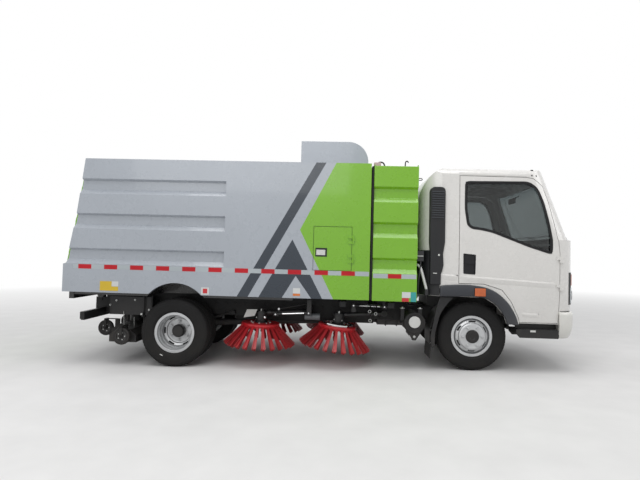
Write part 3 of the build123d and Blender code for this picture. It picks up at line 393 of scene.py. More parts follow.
chassis_black = painted("chassis_black", (0.009, 0.0095, 0.0105, 1), 0.5, 0.0, shine=0.3, dust=0.16,
                        dust_top=0.75)
for node in ("chassis_frame", "front_axle", "rear_axle", "knuckle_left", "knuckle_right"):
    rounded(node, chassis_black)
rail_half = 0.375
for name, side in sides:
    parts = []
    for z in (0.515, 0.627):
        bolt = bmesh.new()
        hex_head(bolt, 0.011, 0, side * 0.012, (-1.12, side * rail_half, z))
        parts.append(repeated(row_tree, bolt, chassis_black, Count=44, Step=(0.121, 0, 0)))
    piece(f"rail_bolts_{name}", "chassis", "chassis_black", *parts)
    shape = bmesh.new()
    for axle_x, spring_y, low, high in ((front_axle_x, 0.352, 0.245, 0.385), (0.0, 0.419, 0.245, 0.455)):
        for x in (axle_x - 0.052, axle_x + 0.052):
            for y in (spring_y - 0.026, spring_y + 0.026):
                pipe(shape, [(x, side * y, low), (x, side * y, high + 0.012)], 0.008, order=2)
                hex_head(shape, 0.013, high + 0.002, high + 0.016, (x, side * y, 0), "z")
        blocks(shape, side,
               (axle_x - 0.068, axle_x + 0.068, spring_y - 0.04, spring_y + 0.04, low - 0.012, low))
    piece(f"spring_bolts_{name}", "chassis", "chassis_black", (shape, chassis_black), width=0.0015)


# The tyres are six radial road tyres, 770 mm across and 200 mm wide: black rubber with grooves
# round the tread, notched shoulder blocks, and fine raised rings and ribs on the sidewalls.
turn_tree, given = new_tree("copies_round_an_axis", [
    ("Shape", "Geometry", None), ("Count", "Int", 6), ("First Angle", "Float", 0.0),
    ("Axis", "Vector", (0, 1, 0)), ("Centre", "Vector", (0, 0, 0)),
    ("Finish", "Material", None)])
step = maths(turn_tree, "DIVIDE", 2 * pi, given["Count"])
angle = maths(turn_tree, "MULTIPLY_ADD", add(turn_tree, "GeometryNodeInputIndex"), step, given["First Angle"])
turn = add(turn_tree, "FunctionNodeAxisAngleToRotation", given["Axis"], angle)
spots = add(turn_tree, "GeometryNodePoints", given["Count"], given["Centre"])
close_tree(turn_tree, given, add(turn_tree, "GeometryNodeInstanceOnPoints", spots, Instance=given["Shape"],
                                 Rotation=turn))

rear_axle_z = tyre_radius - front_axle_x * tan(rake)
rubber = painted("tyre_rubber", (0.0085, 0.0085, 0.009, 1), 0.75, 0.0, shine=0.25, spread=0.3, grain=220.0,
                 height=0.0006, dust=0.05, dust_top=0.8)
side_profile = [                 # y from the tyre's middle, radius: bead to shoulder
    (0.0788, 0.2035), (0.0788, 0.2290), (0.0850, 0.2375), (0.0925, 0.2470), (0.0955, 0.2520),
    (0.0968, 0.2540), (0.0966, 0.2570), (0.0982, 0.2640), (0.0998, 0.2850), (0.1000, 0.3000),
    (0.0996, 0.3160), (0.1000, 0.3180), (0.0996, 0.3200), (0.0985, 0.3330), (0.0978, 0.3400),
    (0.0984, 0.3420), (0.0974, 0.3440), (0.0940, 0.3560), (0.0880, 0.3660), (0.0820, 0.3715),
    (0.0700, 0.3740),
]
ribs = [(0.0660, 0.0480), (0.0400, 0.0130)]          # y of each tread rib's edges
tread_profile = []
for outer, inner in ribs:
    tread_profile += [(outer + 0.001, 0.3752), (outer, 0.3828), (inner, 0.3845), (inner - 0.001, 0.3752)]
lug = [                          # shoulder lugs and sidewall ribs, in the same way
    (0.0655, 0.3720), (0.0655, 0.3832), (0.0720, 0.3822), (0.0835, 0.3745), (0.0870, 0.3670), (0.0840, 0.3640),
]
rib = [(0.0920, 0.3480), (0.0966, 0.3490), (0.0925, 0.3590), (0.0880, 0.3580)]


def mirrored(half):
    """A profile that is the same on both sides of its middle."""
    return [(-a, r) for a, r in half] + [(a, r) for a, r in reversed(half)]


tyre_outline = mirrored(side_profile + tread_profile)
front_wheel_y, twins_y, twin_offset = 0.7525, 0.725, 0.116
wheels = [                       # node, body and middle
    (f"front_tyre_{name}", f"front_wheel_{name}", (front_axle_x, side * front_wheel_y, tyre_radius))
    for name, side in sides
] + [
    (f"rear_tyre_{which}_{name}", f"rear_wheels_{name}",
     (0.0, side * (twins_y + sign * twin_offset), rear_axle_z))
    for name, side in sides for which, sign in (("outer", 1), ("inner", -1))
]
for node, body, centre in wheels:
    carcass = bmesh.new()
    turned(carcass, tyre_outline, centre, count=96)
    parts = [(carcass, rubber)]
    for hand in (-1, 1):
        for outline, half_wide, count in ((lug, 0.0125, 66), (rib, 0.0014, 120)):
            unit = bmesh.new()
            prism(unit, [(hand * y, r) for y, r in outline], -half_wide, half_wide, "yz")
            parts.append(repeated(turn_tree, unit, rubber, Count=count, Centre=centre))
    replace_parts(piece(node + "_treaded", body, "tyre", *parts, crease=28), node)


# The rims are pressed steel in silver paint. The front discs bulge outwards and the rear ones are
# deep dishes, bolted in pairs; each has six hand slots, six wheel nuts and a black hub. A short
# chalk line marks the right rear tyre.
silver = painted("rim_silver", (0.56, 0.57, 0.58, 1), 0.36, 0.2, 0.55, spread=0.18, grain=140.0, dust=0.12)
hub_black = painted("hub_black", (0.008, 0.008, 0.009, 1), 0.4, 0.1, shine=0.35, dust=0.08)
barrel = [                       # y from the rim's middle, radius, round the sheet's section
    (0.0830, 0.2290), (0.0795, 0.2275), (0.0789, 0.2200), (0.0789, 0.2040), (0.0500, 0.2025),
    (0.0400, 0.1960), (-0.0300, 0.1960), (-0.0400, 0.2025), (-0.0789, 0.2040), (-0.0789, 0.2200),
    (-0.0795, 0.2275), (-0.0830, 0.2290), (-0.0838, 0.2230), (-0.0838, 0.2000), (-0.0780, 0.1975),
    (-0.0440, 0.1965), (-0.0340, 0.1895), (0.0340, 0.1895), (0.0440, 0.1965), (0.0780, 0.1975),
    (0.0838, 0.2000), (0.0838, 0.2230),
]
dish = [                         # y from the rim's middle, radius, from the rim to the middle of the disc
    (0.0260, 0.1890), (0.0400, 0.1888), (0.0560, 0.1870), (0.0680, 0.1835), (0.0760, 0.1780),
    (0.0830, 0.1690), (0.0870, 0.1595), (0.0890, 0.1545), (0.1010, 0.1515), (0.1085, 0.1450),
    (0.1120, 0.1360), (0.1120, 0.1240), (0.1105, 0.1180), (0.1105, 0.0900), (0.1105, 0.0600),
]
front_hub = [                    # y from the truck's middle, radius
    (0.7330, 0), (0.7330, 0.0620), (0.8630, 0.0620), (0.8630, 0.0745), (0.8685, 0.0745), (0.8735, 0.0710),
    (0.8760, 0.0600), (0.8760, 0.0340), (0.8730, 0.0300), (0.8730, 0),
]
rear_hub = [
    (0.6450, 0.0460), (0.6450, 0.0745), (0.7900, 0.0745), (0.8000, 0.0680), (0.8120, 0.0600),
    (0.8125, 0.0300), (0.8125, 0), (0.7602, 0), (0.7602, 0.0445),
]
washer = [(0, 0), (0, 0.0230), (0.0050, 0.0210), (0.0050, 0)]
wheel_nut = [
    (0, 0), (0, 0.0145), (0.0190, 0.0145), (0.0220, 0.0120), (0.0220, 0.0085), (0.0310, 0.0085), (0.0320, 0),
]
slot_rings, slot_half = (4, 5), 3    # profile steps and quarter steps that a hand slot opens
disc_count, disc_sheet, nut_circle = 90, 0.007, 0.108


def wheel_disc(middle, outward, spin):
    """The dished disc of one wheel, with its hand slots cut through and its thickness given."""
    shape = bmesh.new()
    turned(shape, [(middle + outward * y, r) for y, r in dish], count=disc_count, closed=False)
    pitch = disc_count // 6
    for face in list(shape.faces):
        spot = face.calc_center_median()
        radius = sqrt(spot.x ** 2 + spot.z ** 2)
        turn_at = (atan2(spot.z, spot.x) - spin) / (2 * pi) * disc_count
        near = abs((turn_at + pitch / 2) % pitch - pitch / 2)
        if dish[slot_rings[1] + 1][1] < radius < dish[slot_rings[0]][1] and near < slot_half:
            shape.faces.remove(face)
    bmesh.ops.recalc_face_normals(shape, faces=shape.faces)
    if sum(face.normal.y * outward for face in shape.faces) < 0:
        bmesh.ops.reverse_faces(shape, faces=shape.faces)
    bmesh.ops.solidify(shape, geom=shape.faces[:], thickness=disc_sheet)
    return shape


def nut_on_stud(face_y, outward):
    """One wheel nut on its washer and stud, to repeat round the hub."""
    unit = bmesh.new()
    for profile, count in ((washer, 20), (wheel_nut, 6)):
        turned(unit, [(face_y + outward * y, r) for y, r in profile], (nut_circle, 0, 0), count=count)
    return unit


for name, side in sides:
    middle = side * front_wheel_y
    centre = (front_axle_x, 0, tyre_radius)
    ring = bmesh.new()
    turned(ring, [(middle + side * y, r) for y, r in barrel], count=96)
    plate = wheel_disc(middle, side, radians(30))
    for shape in (ring, plate):
        bmesh.ops.translate(shape, verts=shape.verts, vec=centre)
    hub = bmesh.new()
    turned(hub, [(side * y, r) for y, r in front_hub], centre)
    nuts = repeated(turn_tree, nut_on_stud(middle + side * 0.110, side), silver, Count=6, Centre=centre)
    drum = bmesh.new()
    disc(drum, middle - side * 0.030, middle + side * 0.060, 0.180, centre, count=64)
    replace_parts(piece(f"front_rim_{name}_pressed", f"front_wheel_{name}", "rim_silver", (ring, silver),
                      (plate, silver), (hub, hub_black), (drum, hub_black), nuts, width=0.0012, crease=30),
                f"front_rim_{name}")
    centre = (0, 0, rear_axle_z)
    parts = []
    for sign in (1, -1):
        middle = side * (twins_y + sign * twin_offset)
        ring = bmesh.new()
        turned(ring, [(middle + side * y, r) for y, r in barrel], count=96)
        plate = wheel_disc(middle, -side * sign, 0)
        for shape in (ring, plate):
            bmesh.ops.translate(shape, verts=shape.verts, vec=centre)
            parts.append((shape, silver))
    hub = bmesh.new()
    turned(hub, [(side * y, r) for y, r in rear_hub], centre, closed=False)
    disc(hub, side * 0.690, side * 0.7255, 0.186, centre, count=64)
    nuts = repeated(turn_tree, nut_on_stud(side * 0.7375, side), silver, Count=6, Centre=centre,
                    **{"First Angle": radians(30)})
    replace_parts(piece(f"rear_rims_{name}_pressed", f"rear_wheels_{name}", "rim_silver", *parts,
                      (hub, hub_black), nuts, width=0.0012, crease=30), f"rear_rims_{name}")
mark = bmesh.new()
prism(mark, [(-0.152, -0.248), (-0.122, -0.262), (-0.118, -0.253), (-0.148, -0.239)], -0.9400, -0.9415)
bmesh.ops.translate(mark, verts=mark.verts, vec=(0, 0, rear_axle_z))
chalk = painted("chalk_white", (0.75, 0.75, 0.72, 1), 0.7, 0.0, dust=0.1)
piece("tyre_chalk_mark", "rear_wheels_right", "tyre", (mark, chalk))


# The engine, its gearbox and propeller shaft hang between the rails, and a second engine drives the
# fan under the front of the hopper: cast iron in dull grey, with ribs, sump and covers.
iron = painted("engine_iron", (0.075, 0.076, 0.08, 1), 0.6, 0.0, grain=90.0, height=0.0012, dust=0.35)
for node in ("engine", "sweeper_engine"):
    rounded(node, iron, 0.006, 3)
shape = bmesh.new()
blocks(shape, 1, (3.02, 3.82, -0.19, 0.19, 0.352, 0.432), (3.05, 3.60, -0.15, 0.15, 0.31, 0.355))
for x in (2.46, 2.60, 2.74, 2.88):
    blocks(shape, 1, (x - 0.008, x + 0.008, -0.178, 0.178, 0.378, 0.682))
piece("sump_and_ribs", "chassis", "engine_iron", (shape, iron), width=0.006)
shape = bmesh.new()
for name, side in sides:
    for x in (1.46, 1.60, 1.74, 1.88):
        blocks(shape, side, (x - 0.012, x + 0.012, 0.378, 0.398, 0.79, 1.30))
    turned(shape, [(side * 0.378, 0), (side * 0.378, 0.11), (side * 0.402, 0.10), (side * 0.402, 0)],
           (1.67, 0, 1.05), count=32)
piece("fan_engine_covers", "chassis", "engine_iron", (shape, iron), width=0.003)


# The fuel tank hangs on the left and the round air tank on the right: black painted steel under
# steel straps, with a bright end cover on the air tank and a drain plate below it.
def collar(shape, low, high, inner, outer, centre=(0, 0, 0), axis="y", count=48):
    """A ring of square section between two places along its axis."""
    turned(shape, [(low, inner), (low, outer), (high, outer), (high, inner)], centre, axis, count)


zinc = painted("zinc_plate", (0.52, 0.53, 0.52, 1), 0.34, 0.0, 1.0, dust=0.2)
for node in ("fuel_tank", "air_tank"):
    rounded(node, chassis_black, 0.004, 3)
shape = bmesh.new()
for x in (2.545, 2.725):
    for y in (0.447, 0.9015):
        blocks(shape, 1, (x - 0.015, x + 0.015, y - 0.003, y + 0.003, 0.428, 0.61))
    blocks(shape, 1, (x - 0.015, x + 0.015, 0.49, 0.86, 0.650, 0.656),
           (x - 0.015, x + 0.015, 0.49, 0.86, 0.379, 0.3845))
cap = bmesh.new()
turned(cap, [(0.65, 0), (0.65, 0.045), (0.668, 0.045), (0.672, 0.042), (0.690, 0.042), (0.693, 0.038),
             (0.693, 0)], (2.62, 0.70, 0), "z", 24)
piece("fuel_tank_straps", "chassis", "chassis_black", (shape, zinc), (cap, hub_black), width=0.001)
tank_x, tank_z, tank_r = 2.704, 0.523, 0.118
saddles = (tank_x - 0.132, tank_x + 0.064)
shape = bmesh.new()
for y in (-0.63, -0.86):
    collar(shape, y - 0.014, y + 0.014, tank_r + 0.0002, tank_r + 0.003, (tank_x, 0, tank_z))
turned(shape, [(-0.9362, tank_r - 0.004), (-0.9362, tank_r - 0.020), (-0.941, tank_r - 0.018),
               (-0.941, tank_r - 0.008)], (tank_x, 0, tank_z))
prism(shape, [(tank_x - 0.105, tank_z - 0.055), (tank_x - 0.018, 0.332), (tank_x + 0.018, 0.332),
              (tank_x + 0.105, tank_z - 0.055)], -0.912, -0.926)
for x in saddles:
    blocks(shape, 1, (x - 0.02, x + 0.02, -0.90, -0.86, tank_z + 0.02, tank_z + 0.157))
cover = bmesh.new()
turned(cover, [(-0.930, 0), (-0.930, 0.0645), (-0.944, 0.0645), (-0.948, 0.058), (-0.9475, 0)],
       (tank_x, 0, tank_z + 0.012))
bolts = bmesh.new()
for x in saddles:
    disc(bolts, 0.680, 0.686, 0.030, (x, -0.885, 0), "z", 20)
    hex_head(bolts, 0.012, 0.685, 0.697, (x, -0.885, 0), "z")
hex_head(bolts, 0.011, -0.926, -0.938, (tank_x, 0, 0.372))
pale_cover = painted("pale_cover", (0.62, 0.62, 0.60, 1), 0.4, 0.2, dust=0.15)
piece("air_tank_fittings", "chassis", "chassis_black", (shape, chassis_black), (cover, pale_cover),
      (bolts, zinc), width=0.0015)


# Four side brooms sweep towards the middle. A red moulded disc carries 24 bunches of flat plastic
# bristles, splayed by use; the front pair has a bright clamp ring on the disc.
bristle_red = painted("bristle_red", (0.50, 0.016, 0.024, 1), 0.42, 0.0, spread=0.45, grain=90.0,
                      height=0.0006, dust=0.16, dust_top=0.45)
disc_red = painted("disc_red", (0.52, 0.010, 0.018, 1), 0.32, 0.2, spread=0.2, height=0.0005, dust=0.10,
                   dust_top=0.6)
chrome = painted("chrome", (0.78, 0.79, 0.80, 1), 0.12, 0.0, 1.0, spread=0.1, dust=0.05)
broom_y, broom_z, tuft_count, strand_count = 0.620, 0.428, 24, 34
strand_length, strand_wide, strand_thick = 0.318, 0.0062, 0.0026
strand_bow, strand_slope, tuft_root = 0.010, radians(40.5), (0.1915, 0, -0.006)
brooms = [("rear", 0.935, 2), ("front", 1.845, 7)]   # name, x, forward tilt in degrees
tuft_tree, given = new_tree("strands_of_a_tuft", [
    ("Shape", "Geometry", None), ("Count", "Int", strand_count), ("Seed", "Int", 4),
    ("Across", "Float", 0.034), ("Through", "Float", 0.022), ("Splay", "Float", 0.075),
    ("Finish", "Material", None)])
spots = add(tuft_tree, "GeometryNodePoints", given["Count"])
chance = []
for number, reach in enumerate((given["Across"], given["Through"])):
    low = maths(tuft_tree, "MULTIPLY", reach, -0.5)
    high = maths(tuft_tree, "MULTIPLY", reach, 0.5)
    pick = tuft_tree.nodes.new("FunctionNodeRandomValue")
    pick.data_type = "FLOAT"
    for label, value in (("Min", low), ("Max", high)):
        socket = [s for s in pick.inputs if s.name == label and s.type == "VALUE"][0]
        tuft_tree.links.new(value, socket)
    tuft_tree.links.new(maths(tuft_tree, "ADD", given["Seed"], float(number * 7)), pick.inputs["Seed"])
    chance.append([s for s in pick.outputs if s.type == "VALUE"][0])
root = add(tuft_tree, "ShaderNodeCombineXYZ", chance[1], chance[0], 0.0)
fan = maths(tuft_tree, "DIVIDE", given["Splay"], given["Across"])
lean_side = maths(tuft_tree, "MULTIPLY", chance[0], fan)
lean_out = maths(tuft_tree, "MULTIPLY", chance[1], fan)
lean_by = add(tuft_tree, "ShaderNodeCombineXYZ", lean_side,
              maths(tuft_tree, "MULTIPLY", lean_out, -1.0), chance[1])
moved = add(tuft_tree, "GeometryNodeSetPosition", spots, Position=root)
close_tree(tuft_tree, given, add(tuft_tree, "GeometryNodeInstanceOnPoints", moved, Instance=given["Shape"],
                                 Rotation=add(tuft_tree, "FunctionNodeEulerToRotation", lean_by)))

broom_disc = [                   # height over the broom's middle, radius
    (-0.018, 0), (-0.018, 0.1880), (-0.034, 0.2000), (-0.034, 0.2140), (-0.010, 0.2245), (0.004, 0.2245),
    (0.011, 0.2180), (0.011, 0.1960), (0.006, 0.1880), (0.006, 0.1500), (0.011, 0.1420), (0.011, 0),
]
broom_hub = [(0.011, 0), (0.011, 0.070), (0.030, 0.070), (0.034, 0.064), (0.034, 0)]
clamp_ring = [
    (0.0065, 0.154), (0.0280, 0.154), (0.0340, 0.160), (0.0340, 0.176), (0.0280, 0.182), (0.0065, 0.182),
]
tuft_socket = [(0.176, -0.030), (0.204, -0.046), (0.228, -0.016), (0.214, 0.001), (0.176, -0.004)]


def on_spindle(x, side, tilt, *shapes):
    """Stands shapes that are drawn round a broom's spindle in their place on the truck."""
    seat = Matrix.Translation((x, side * broom_y, broom_z)) @ Matrix.Rotation(radians(tilt), 4, "Y")
    for shape in shapes:
        bmesh.ops.transform(shape, matrix=seat, verts=shape.verts)


for which, x, tilt in brooms:
    for name, side in sides:
        strand = bmesh.new()
        skinned(strand, [
            [(strand_bow * (k / 3) ** 2 + u * strand_thick / 2, v * strand_wide / 2, -strand_length * k / 3)
             for u, v in ((-1, -1), (1, -1), (1, 1), (-1, 1))] for k in range(4)])
        tuft, finish = repeated(tuft_tree, strand, bristle_red, Count=strand_count, Across=0.018, Through=0.020,
                                Splay=0.104, Seed=4)
        bmesh.ops.rotate(tuft, verts=tuft.verts, cent=(0, 0, 0), matrix=Matrix.Rotation(-strand_slope, 3, "Y"))
        bmesh.ops.translate(tuft, verts=tuft.verts, vec=tuft_root)
        tufts, finish = repeated(turn_tree, tuft, bristle_red, Count=tuft_count, Axis=(0, 0, 1))
        plate = bmesh.new()
        turned(plate, broom_disc, axis="z", count=96)
        socket = bmesh.new()
        prism(socket, tuft_socket, -0.0205, 0.0205)
        sockets, finish = repeated(turn_tree, socket, disc_red, Count=tuft_count, Axis=(0, 0, 1))
        hub = bmesh.new()
        turned(hub, broom_hub, axis="z", count=40)
        bolt = bmesh.new()
        hex_head(bolt, 0.010, 0.011, 0.022, (0.112, 0, 0), "z")
        bolts, finish = repeated(turn_tree, bolt, zinc, Count=8, Axis=(0, 0, 1))
        parts = [(tufts, bristle_red), (plate, disc_red), (sockets, disc_red), (hub, hub_black), (bolts, zinc)]
        if which == "front":
            clamp = bmesh.new()
            turned(clamp, clamp_ring, axis="z", count=72)
            parts.append((clamp, chrome))
        on_spindle(x, side, tilt, *[shape for shape, finish in parts])
        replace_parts(piece(f"broom_{which}_{name}_bristled", f"broom_{which}_{name}", "broom_red", *parts,
                          crease=30), f"broom_{which}_{name}")


# Each broom hangs on a swinging tube arm under a hydraulic motor; a chromed ram lifts it. Arms,
# motors and ram barrels are black, the rods polished, and steel pipes feed the motors.
arm_steel = painted("arm_steel", (0.014, 0.014, 0.016, 1), 0.42, 0.1, shine=0.4, dust=0.14)
for which, x, tilt in brooms:
    for name, side in sides:
        rounded(f"broom_arm_{which}_{name}", arm_steel, 0.003)
        shape, bright = bmesh.new(), bmesh.new()
        for low in (0.050, 0.118):
            collar(shape, low, low + 0.014, 0.0622, 0.072, axis="z", count=40)
        for turn_at in (45, 135, 225, 315):
            spot = (0.066 * cos(radians(turn_at)), 0.066 * sin(radians(turn_at)), 0)
            hex_head(bright, 0.008, 0.064, 0.076, spot, "z")
        disc(shape, 0.1452, 0.175, 0.030, axis="z")
        for u in (-0.022, 0.022):
            disc(bright, 0.1452, 0.172, 0.010, (0.0, u, 0), "z", 12)
        on_spindle(x, side, tilt, shape, bright)
        for u in (0.10, 0.46):
            collar(shape, -0.020, 0.020, 0.0275, 0.034,
                   (x + u, side * (broom_y - 0.12 * u / 0.56), 0.572 - 0.022 * (1 - u / 0.56)), "x", 24)
        piece(f"broom_motor_{which}_{name}", f"broom_arm_{which}_{name}", "arm_steel", (shape, arm_steel),
              (bright, zinc), width=0.0012)


# The water tank behind the cab is welded from sheet with three pressed swages on each side, in leaf
# green gloss. It carries a bolted manhole, a breather hook, lifting eye and the hydrant inlet, and a
# rubber seal closes the gap to the hopper.
def livery(name, colour):
    """Body paint: a colour of its own, gloss over faint orange peel."""
    return painted(name, colour, 0.28, 0.4, spread=0.05, grain=110.0, height=0.00025, dust=0.12, dust_top=1.0)


green = (0.165, 0.400, 0.007, 1)
leaf_green = livery("leaf_green", green)
rounded("water_tank", leaf_green, 0.006, 3)
tank_top, lid_x = 2.262, 2.560
shape = bmesh.new()
turned(shape, [(2.3222, 0), (2.3222, 0.196), (2.334, 0.196), (2.339, 0.190), (2.339, 0.05), (2.352, 0.04),
               (2.352, 0)], (lid_x, 0, 0), "z")
for x in (2.222, 2.7025):
    blocks(shape, 1, (x - 0.004, x + 0.004, -1.0, 1.0, tank_top, tank_top + 0.018))
lid_bolts = bmesh.new()
hex_head(lid_bolts, 0.010, 2.334, 2.346, (0.178, 0, 0), "z")
lid_bolts, finish = repeated(turn_tree, lid_bolts, zinc, Count=12, Axis=(0, 0, 1), Centre=(lid_x, 0, 0))
hook = bmesh.new()
pipe(hook, [(2.565, -0.93, tank_top), (2.565, -0.93, 2.315), (2.575, -0.93, 2.335), (2.595, -0.93, 2.335),
            (2.600, -0.93, 2.318)], 0.007)
pipe(hook, [(2.706, -0.92, 2.140), (2.745, -0.92, 2.150), (2.765, -0.92, 2.135), (2.750, -0.92, 2.120),
            (2.706, -0.92, 2.125)], 0.005)
for y in (-0.82, 0.82):
    pipe(hook, [(2.250, y, tank_top), (2.255, y, 2.325), (2.300, y, 2.345), (2.345, y, 2.325),
                (2.350, y, tank_top)], 0.009)
inlet = bmesh.new()
turned(inlet, [(0.9822, 0.0335), (0.9822, 0.062), (0.9902, 0.062), (0.9922, 0.048), (1.0122, 0.046),
               (1.0142, 0.036), (1.0082, 0.0335)], (2.460, 0, 1.166), count=40)
piece("tank_fittings", "chassis", "tank_green", (shape, leaf_green), (lid_bolts, zinc),
      (hook, chassis_black), (inlet, zinc), width=0.0015)
black_rubber = painted("black_rubber", (0.007, 0.007, 0.008, 1), 0.7, 0.0, shine=0.3, grain=180.0, dust=0.08)
shape = bmesh.new()
for name, side in sides:
    blocks(shape, side, (2.1925, 2.2168, 0.985, 1.014, 0.772, 2.258))
blocks(shape, 1, (2.1925, 2.2168, -0.985, 0.985, 2.215, 2.258))
piece("gap_seal", "chassis", "black_plastic", (shape, black_rubber), width=0.004)
shape = bmesh.new()
blocks(shape, 1, (2.212, 2.290, -0.995, -0.950, 2.2622, 2.305))
pink_cap = painted("faded_cap", (0.50, 0.38, 0.36, 1), 0.5, 0.1, dust=0.1)
piece("tank_corner_cap", "chassis", "tank_green", (shape, pink_cap), width=0.006)


# The tipping hopper is a sheet steel box with three long swages pressed into each side. Its paint is
# grey-blue, with slate stripes and a green front end that meet in sharp masked lines. A door with a
# paddle lock gives access on each side.
grey_blue = (0.345, 0.372, 0.410, 1)
slate = (0.008, 0.017, 0.030, 1)
underseal = (0.009, 0.009, 0.010, 1)


def beyond(tree, x, z, start, end):
    """1 to the right of the line from start up to end, in the truck's level side view, else 0."""
    run = Vector(end) - Vector(start)
    normal = Vector((run.y, -run.x)).normalized()
    along = maths(tree, "MULTIPLY", x, normal.x)
    total = maths(tree, "MULTIPLY_ADD", z, normal.y, along)
    return maths(tree, "GREATER_THAN", total, normal.dot(Vector(start)))


def both(tree, first, second):
    """First and second."""
    return maths(tree, "MULTIPLY", first, second)


def but(tree, first, second):
    """First without second."""
    less = maths(tree, "SUBTRACT", first, second)
    return maths(tree, "MAXIMUM", less, 0.0)


def either(tree, first, second):
    """First or second."""
    return maths(tree, "MAXIMUM", first, second)


hopper_paint, tree, shader = new_finish("hopper_livery", 0.28, coat=0.4)
where = add(tree, "ShaderNodeTexCoord").node.outputs["Object"]
level = add(tree, "ShaderNodeMapping", where, (middle_x - front_axle_x, 0, -tyre_radius), vector_type="POINT")
level = add(tree, "ShaderNodeVectorRotate", level, Axis=(0, 1, 0), Angle=-rake, rotation_type="AXIS_ANGLE")
level = add(tree, "ShaderNodeVectorMath", level, (front_axle_x, 0, tyre_radius), operation="ADD")
axes = add(tree, "ShaderNodeSeparateXYZ", level).node.outputs
x, z = axes["X"], axes["Z"]
masks = [                        # two lines each, and the paint is dark between them: feet and tops as X, Z
    ((0.722, 0.775), (1.563, 2.272), (0.845, 0.775), (1.674, 2.272)),
    ((0.965, 0.775), (1.324, 1.419), (1.667, 0.775), (1.324, 1.419)),
    ((1.226, 0.775), (1.371, 1.015), (1.545, 0.775), (1.371, 1.015)),
]
bar, triangle, inner = (but(tree, beyond(tree, x, z, *line[:2]), beyond(tree, x, z, *line[2:]))
                        for line in masks)
dark = either(tree, bar, but(tree, triangle, inner))
over_knee = maths(tree, "GREATER_THAN", z, 1.529)
upper = both(tree, beyond(tree, x, z, (1.405, 1.529), (1.786, 2.272)), over_knee)
lower = but(tree, beyond(tree, x, z, (1.791, 0.770), (1.405, 1.529)), over_knee)
coat_colour = add(tree, "ShaderNodeMixRGB", dark, grey_blue, slate)
coat_colour = add(tree, "ShaderNodeMixRGB", either(tree, upper, lower), coat_colour, green)
width_away = maths(tree, "ABSOLUTE", axes["Y"])
outside = both(tree, maths(tree, "GREATER_THAN", width_away, 0.972),
               maths(tree, "GREATER_THAN", z, 0.7695))
on_top = maths(tree, "GREATER_THAN", z, 2.270)
plain = add(tree, "ShaderNodeMixRGB", on_top, underseal, grey_blue)
coat_colour = add(tree, "ShaderNodeMixRGB", outside, plain, coat_colour)
weather(tree, shader, coat_colour, 0.05, 0.28, 110.0, 0.00025, 0.08, 1.0)
rounded("hopper", hopper_paint, 0.005, 3)
door_face = 1.0065
lock_frame = [                   # X from and to, Z from and to
    (1.584, 1.710, 1.238, 1.246), (1.584, 1.710, 1.324, 1.332),
    (1.584, 1.592, 1.246, 1.324), (1.702, 1.710, 1.246, 1.324),
]
for name, side in sides:
    rounded(f"access_door_{name}", hopper_paint, 0.003, 2)
    lock, paddle = bmesh.new(), bmesh.new()
    for x0, x1, z0, z1 in lock_frame:
        blocks(lock, side, (x0, x1, door_face, door_face + 0.015, z0, z1))
    blocks(lock, side, (1.592, 1.702, 1.0062, 1.0075, 1.246, 1.324))
    blocks(paddle, side, (1.590, 1.692, 1.0062, 1.0172, 1.254, 1.314))
    piece(f"access_lock_{name}", f"access_door_{name}", "body_grey", (lock, hub_black), (paddle, pale_cover),
          width=0.002)


# Reflective tape in red and pale blocks runs along both sides. The right side also carries small
# blank stickers of coloured plastic film along its lower edge.
body_half = 1.020
tape_from, tape_to, red_from, red_pitch, red_long = -1.150, 2.180, -1.090, 0.2965, 0.150
hopper_tape_z, tank_tape_z = (1.033, 1.083), (1.016, 1.066)
film_look = {"grain": 300.0, "height": 0.0002, "dust": 0.1, "dust_top": 1.0}
tape_red = painted("tape_red", (0.47, 0.006, 0.014, 1), 0.35, 0.05, shine=0.3, spread=0.15, **film_look)
tape_white = painted("tape_white", (0.38, 0.42, 0.44, 1), 0.35, 0.3, spread=0.1, **film_look)


def notice(shape, side, x0, x1, z0, z1, proud=0.0008):
    """A thin blank plate on the body's side."""
    blocks(shape, side, (x0, x1, body_half - 0.0004, body_half + proud, z0, z1))


for name, side in sides:
    red, pale = bmesh.new(), bmesh.new()
    edge = tape_from
    for k in range(11):
        start = red_from + red_pitch * k
        notice(pale, side, edge, start, *hopper_tape_z)
        edge = start + red_long
        notice(red, side, start, edge, *hopper_tape_z)
    notice(pale, side, edge, tape_to, *hopper_tape_z)
    piece(f"hopper_tape_{name}", "hopper", "body_grey", (red, tape_red), (pale, tape_white))
    red, pale = bmesh.new(), bmesh.new()
    notice(red, side, 2.388, 2.536, *tank_tape_z)
    notice(pale, side, 2.225, 2.388, *tank_tape_z)
    notice(pale, side, 2.536, 2.700, *tank_tape_z)
    piece(f"tank_tape_{name}", "chassis", "tank_green", (red, tape_red), (pale, tape_white))
film_tints = {
    "yellow": (0.62, 0.42, 0.01, 1), "white": (0.60, 0.61, 0.60, 1), "red": (0.50, 0.010, 0.016, 1),
    "orange": (0.62, 0.16, 0.02, 1), "teal": (0.02, 0.30, 0.30, 1),
}
stickers = [                     # colour, what it is on, X from and to, Z from and to
    ("yellow", "hopper", -0.834, -0.700, 0.792, 0.898), ("yellow", "hopper", -0.700, -0.624, 0.792, 0.840),
    ("white", "hopper", -0.698, -0.624, 0.842, 0.898), ("white", "hopper", 0.318, 0.406, 0.780, 0.860),
    ("white", "hopper", 1.345, 1.425, 0.822, 0.881), ("white", "tank", 2.546, 2.640, 0.808, 0.872),
    ("red", "hopper", 0.338, 0.388, 0.794, 0.846), ("red", "tank", 2.546, 2.622, 0.767, 0.806),
    ("orange", "hopper", 1.345, 1.425, 0.795, 0.820), ("teal", "tank", 2.642, 2.701, 0.767, 0.872),
]
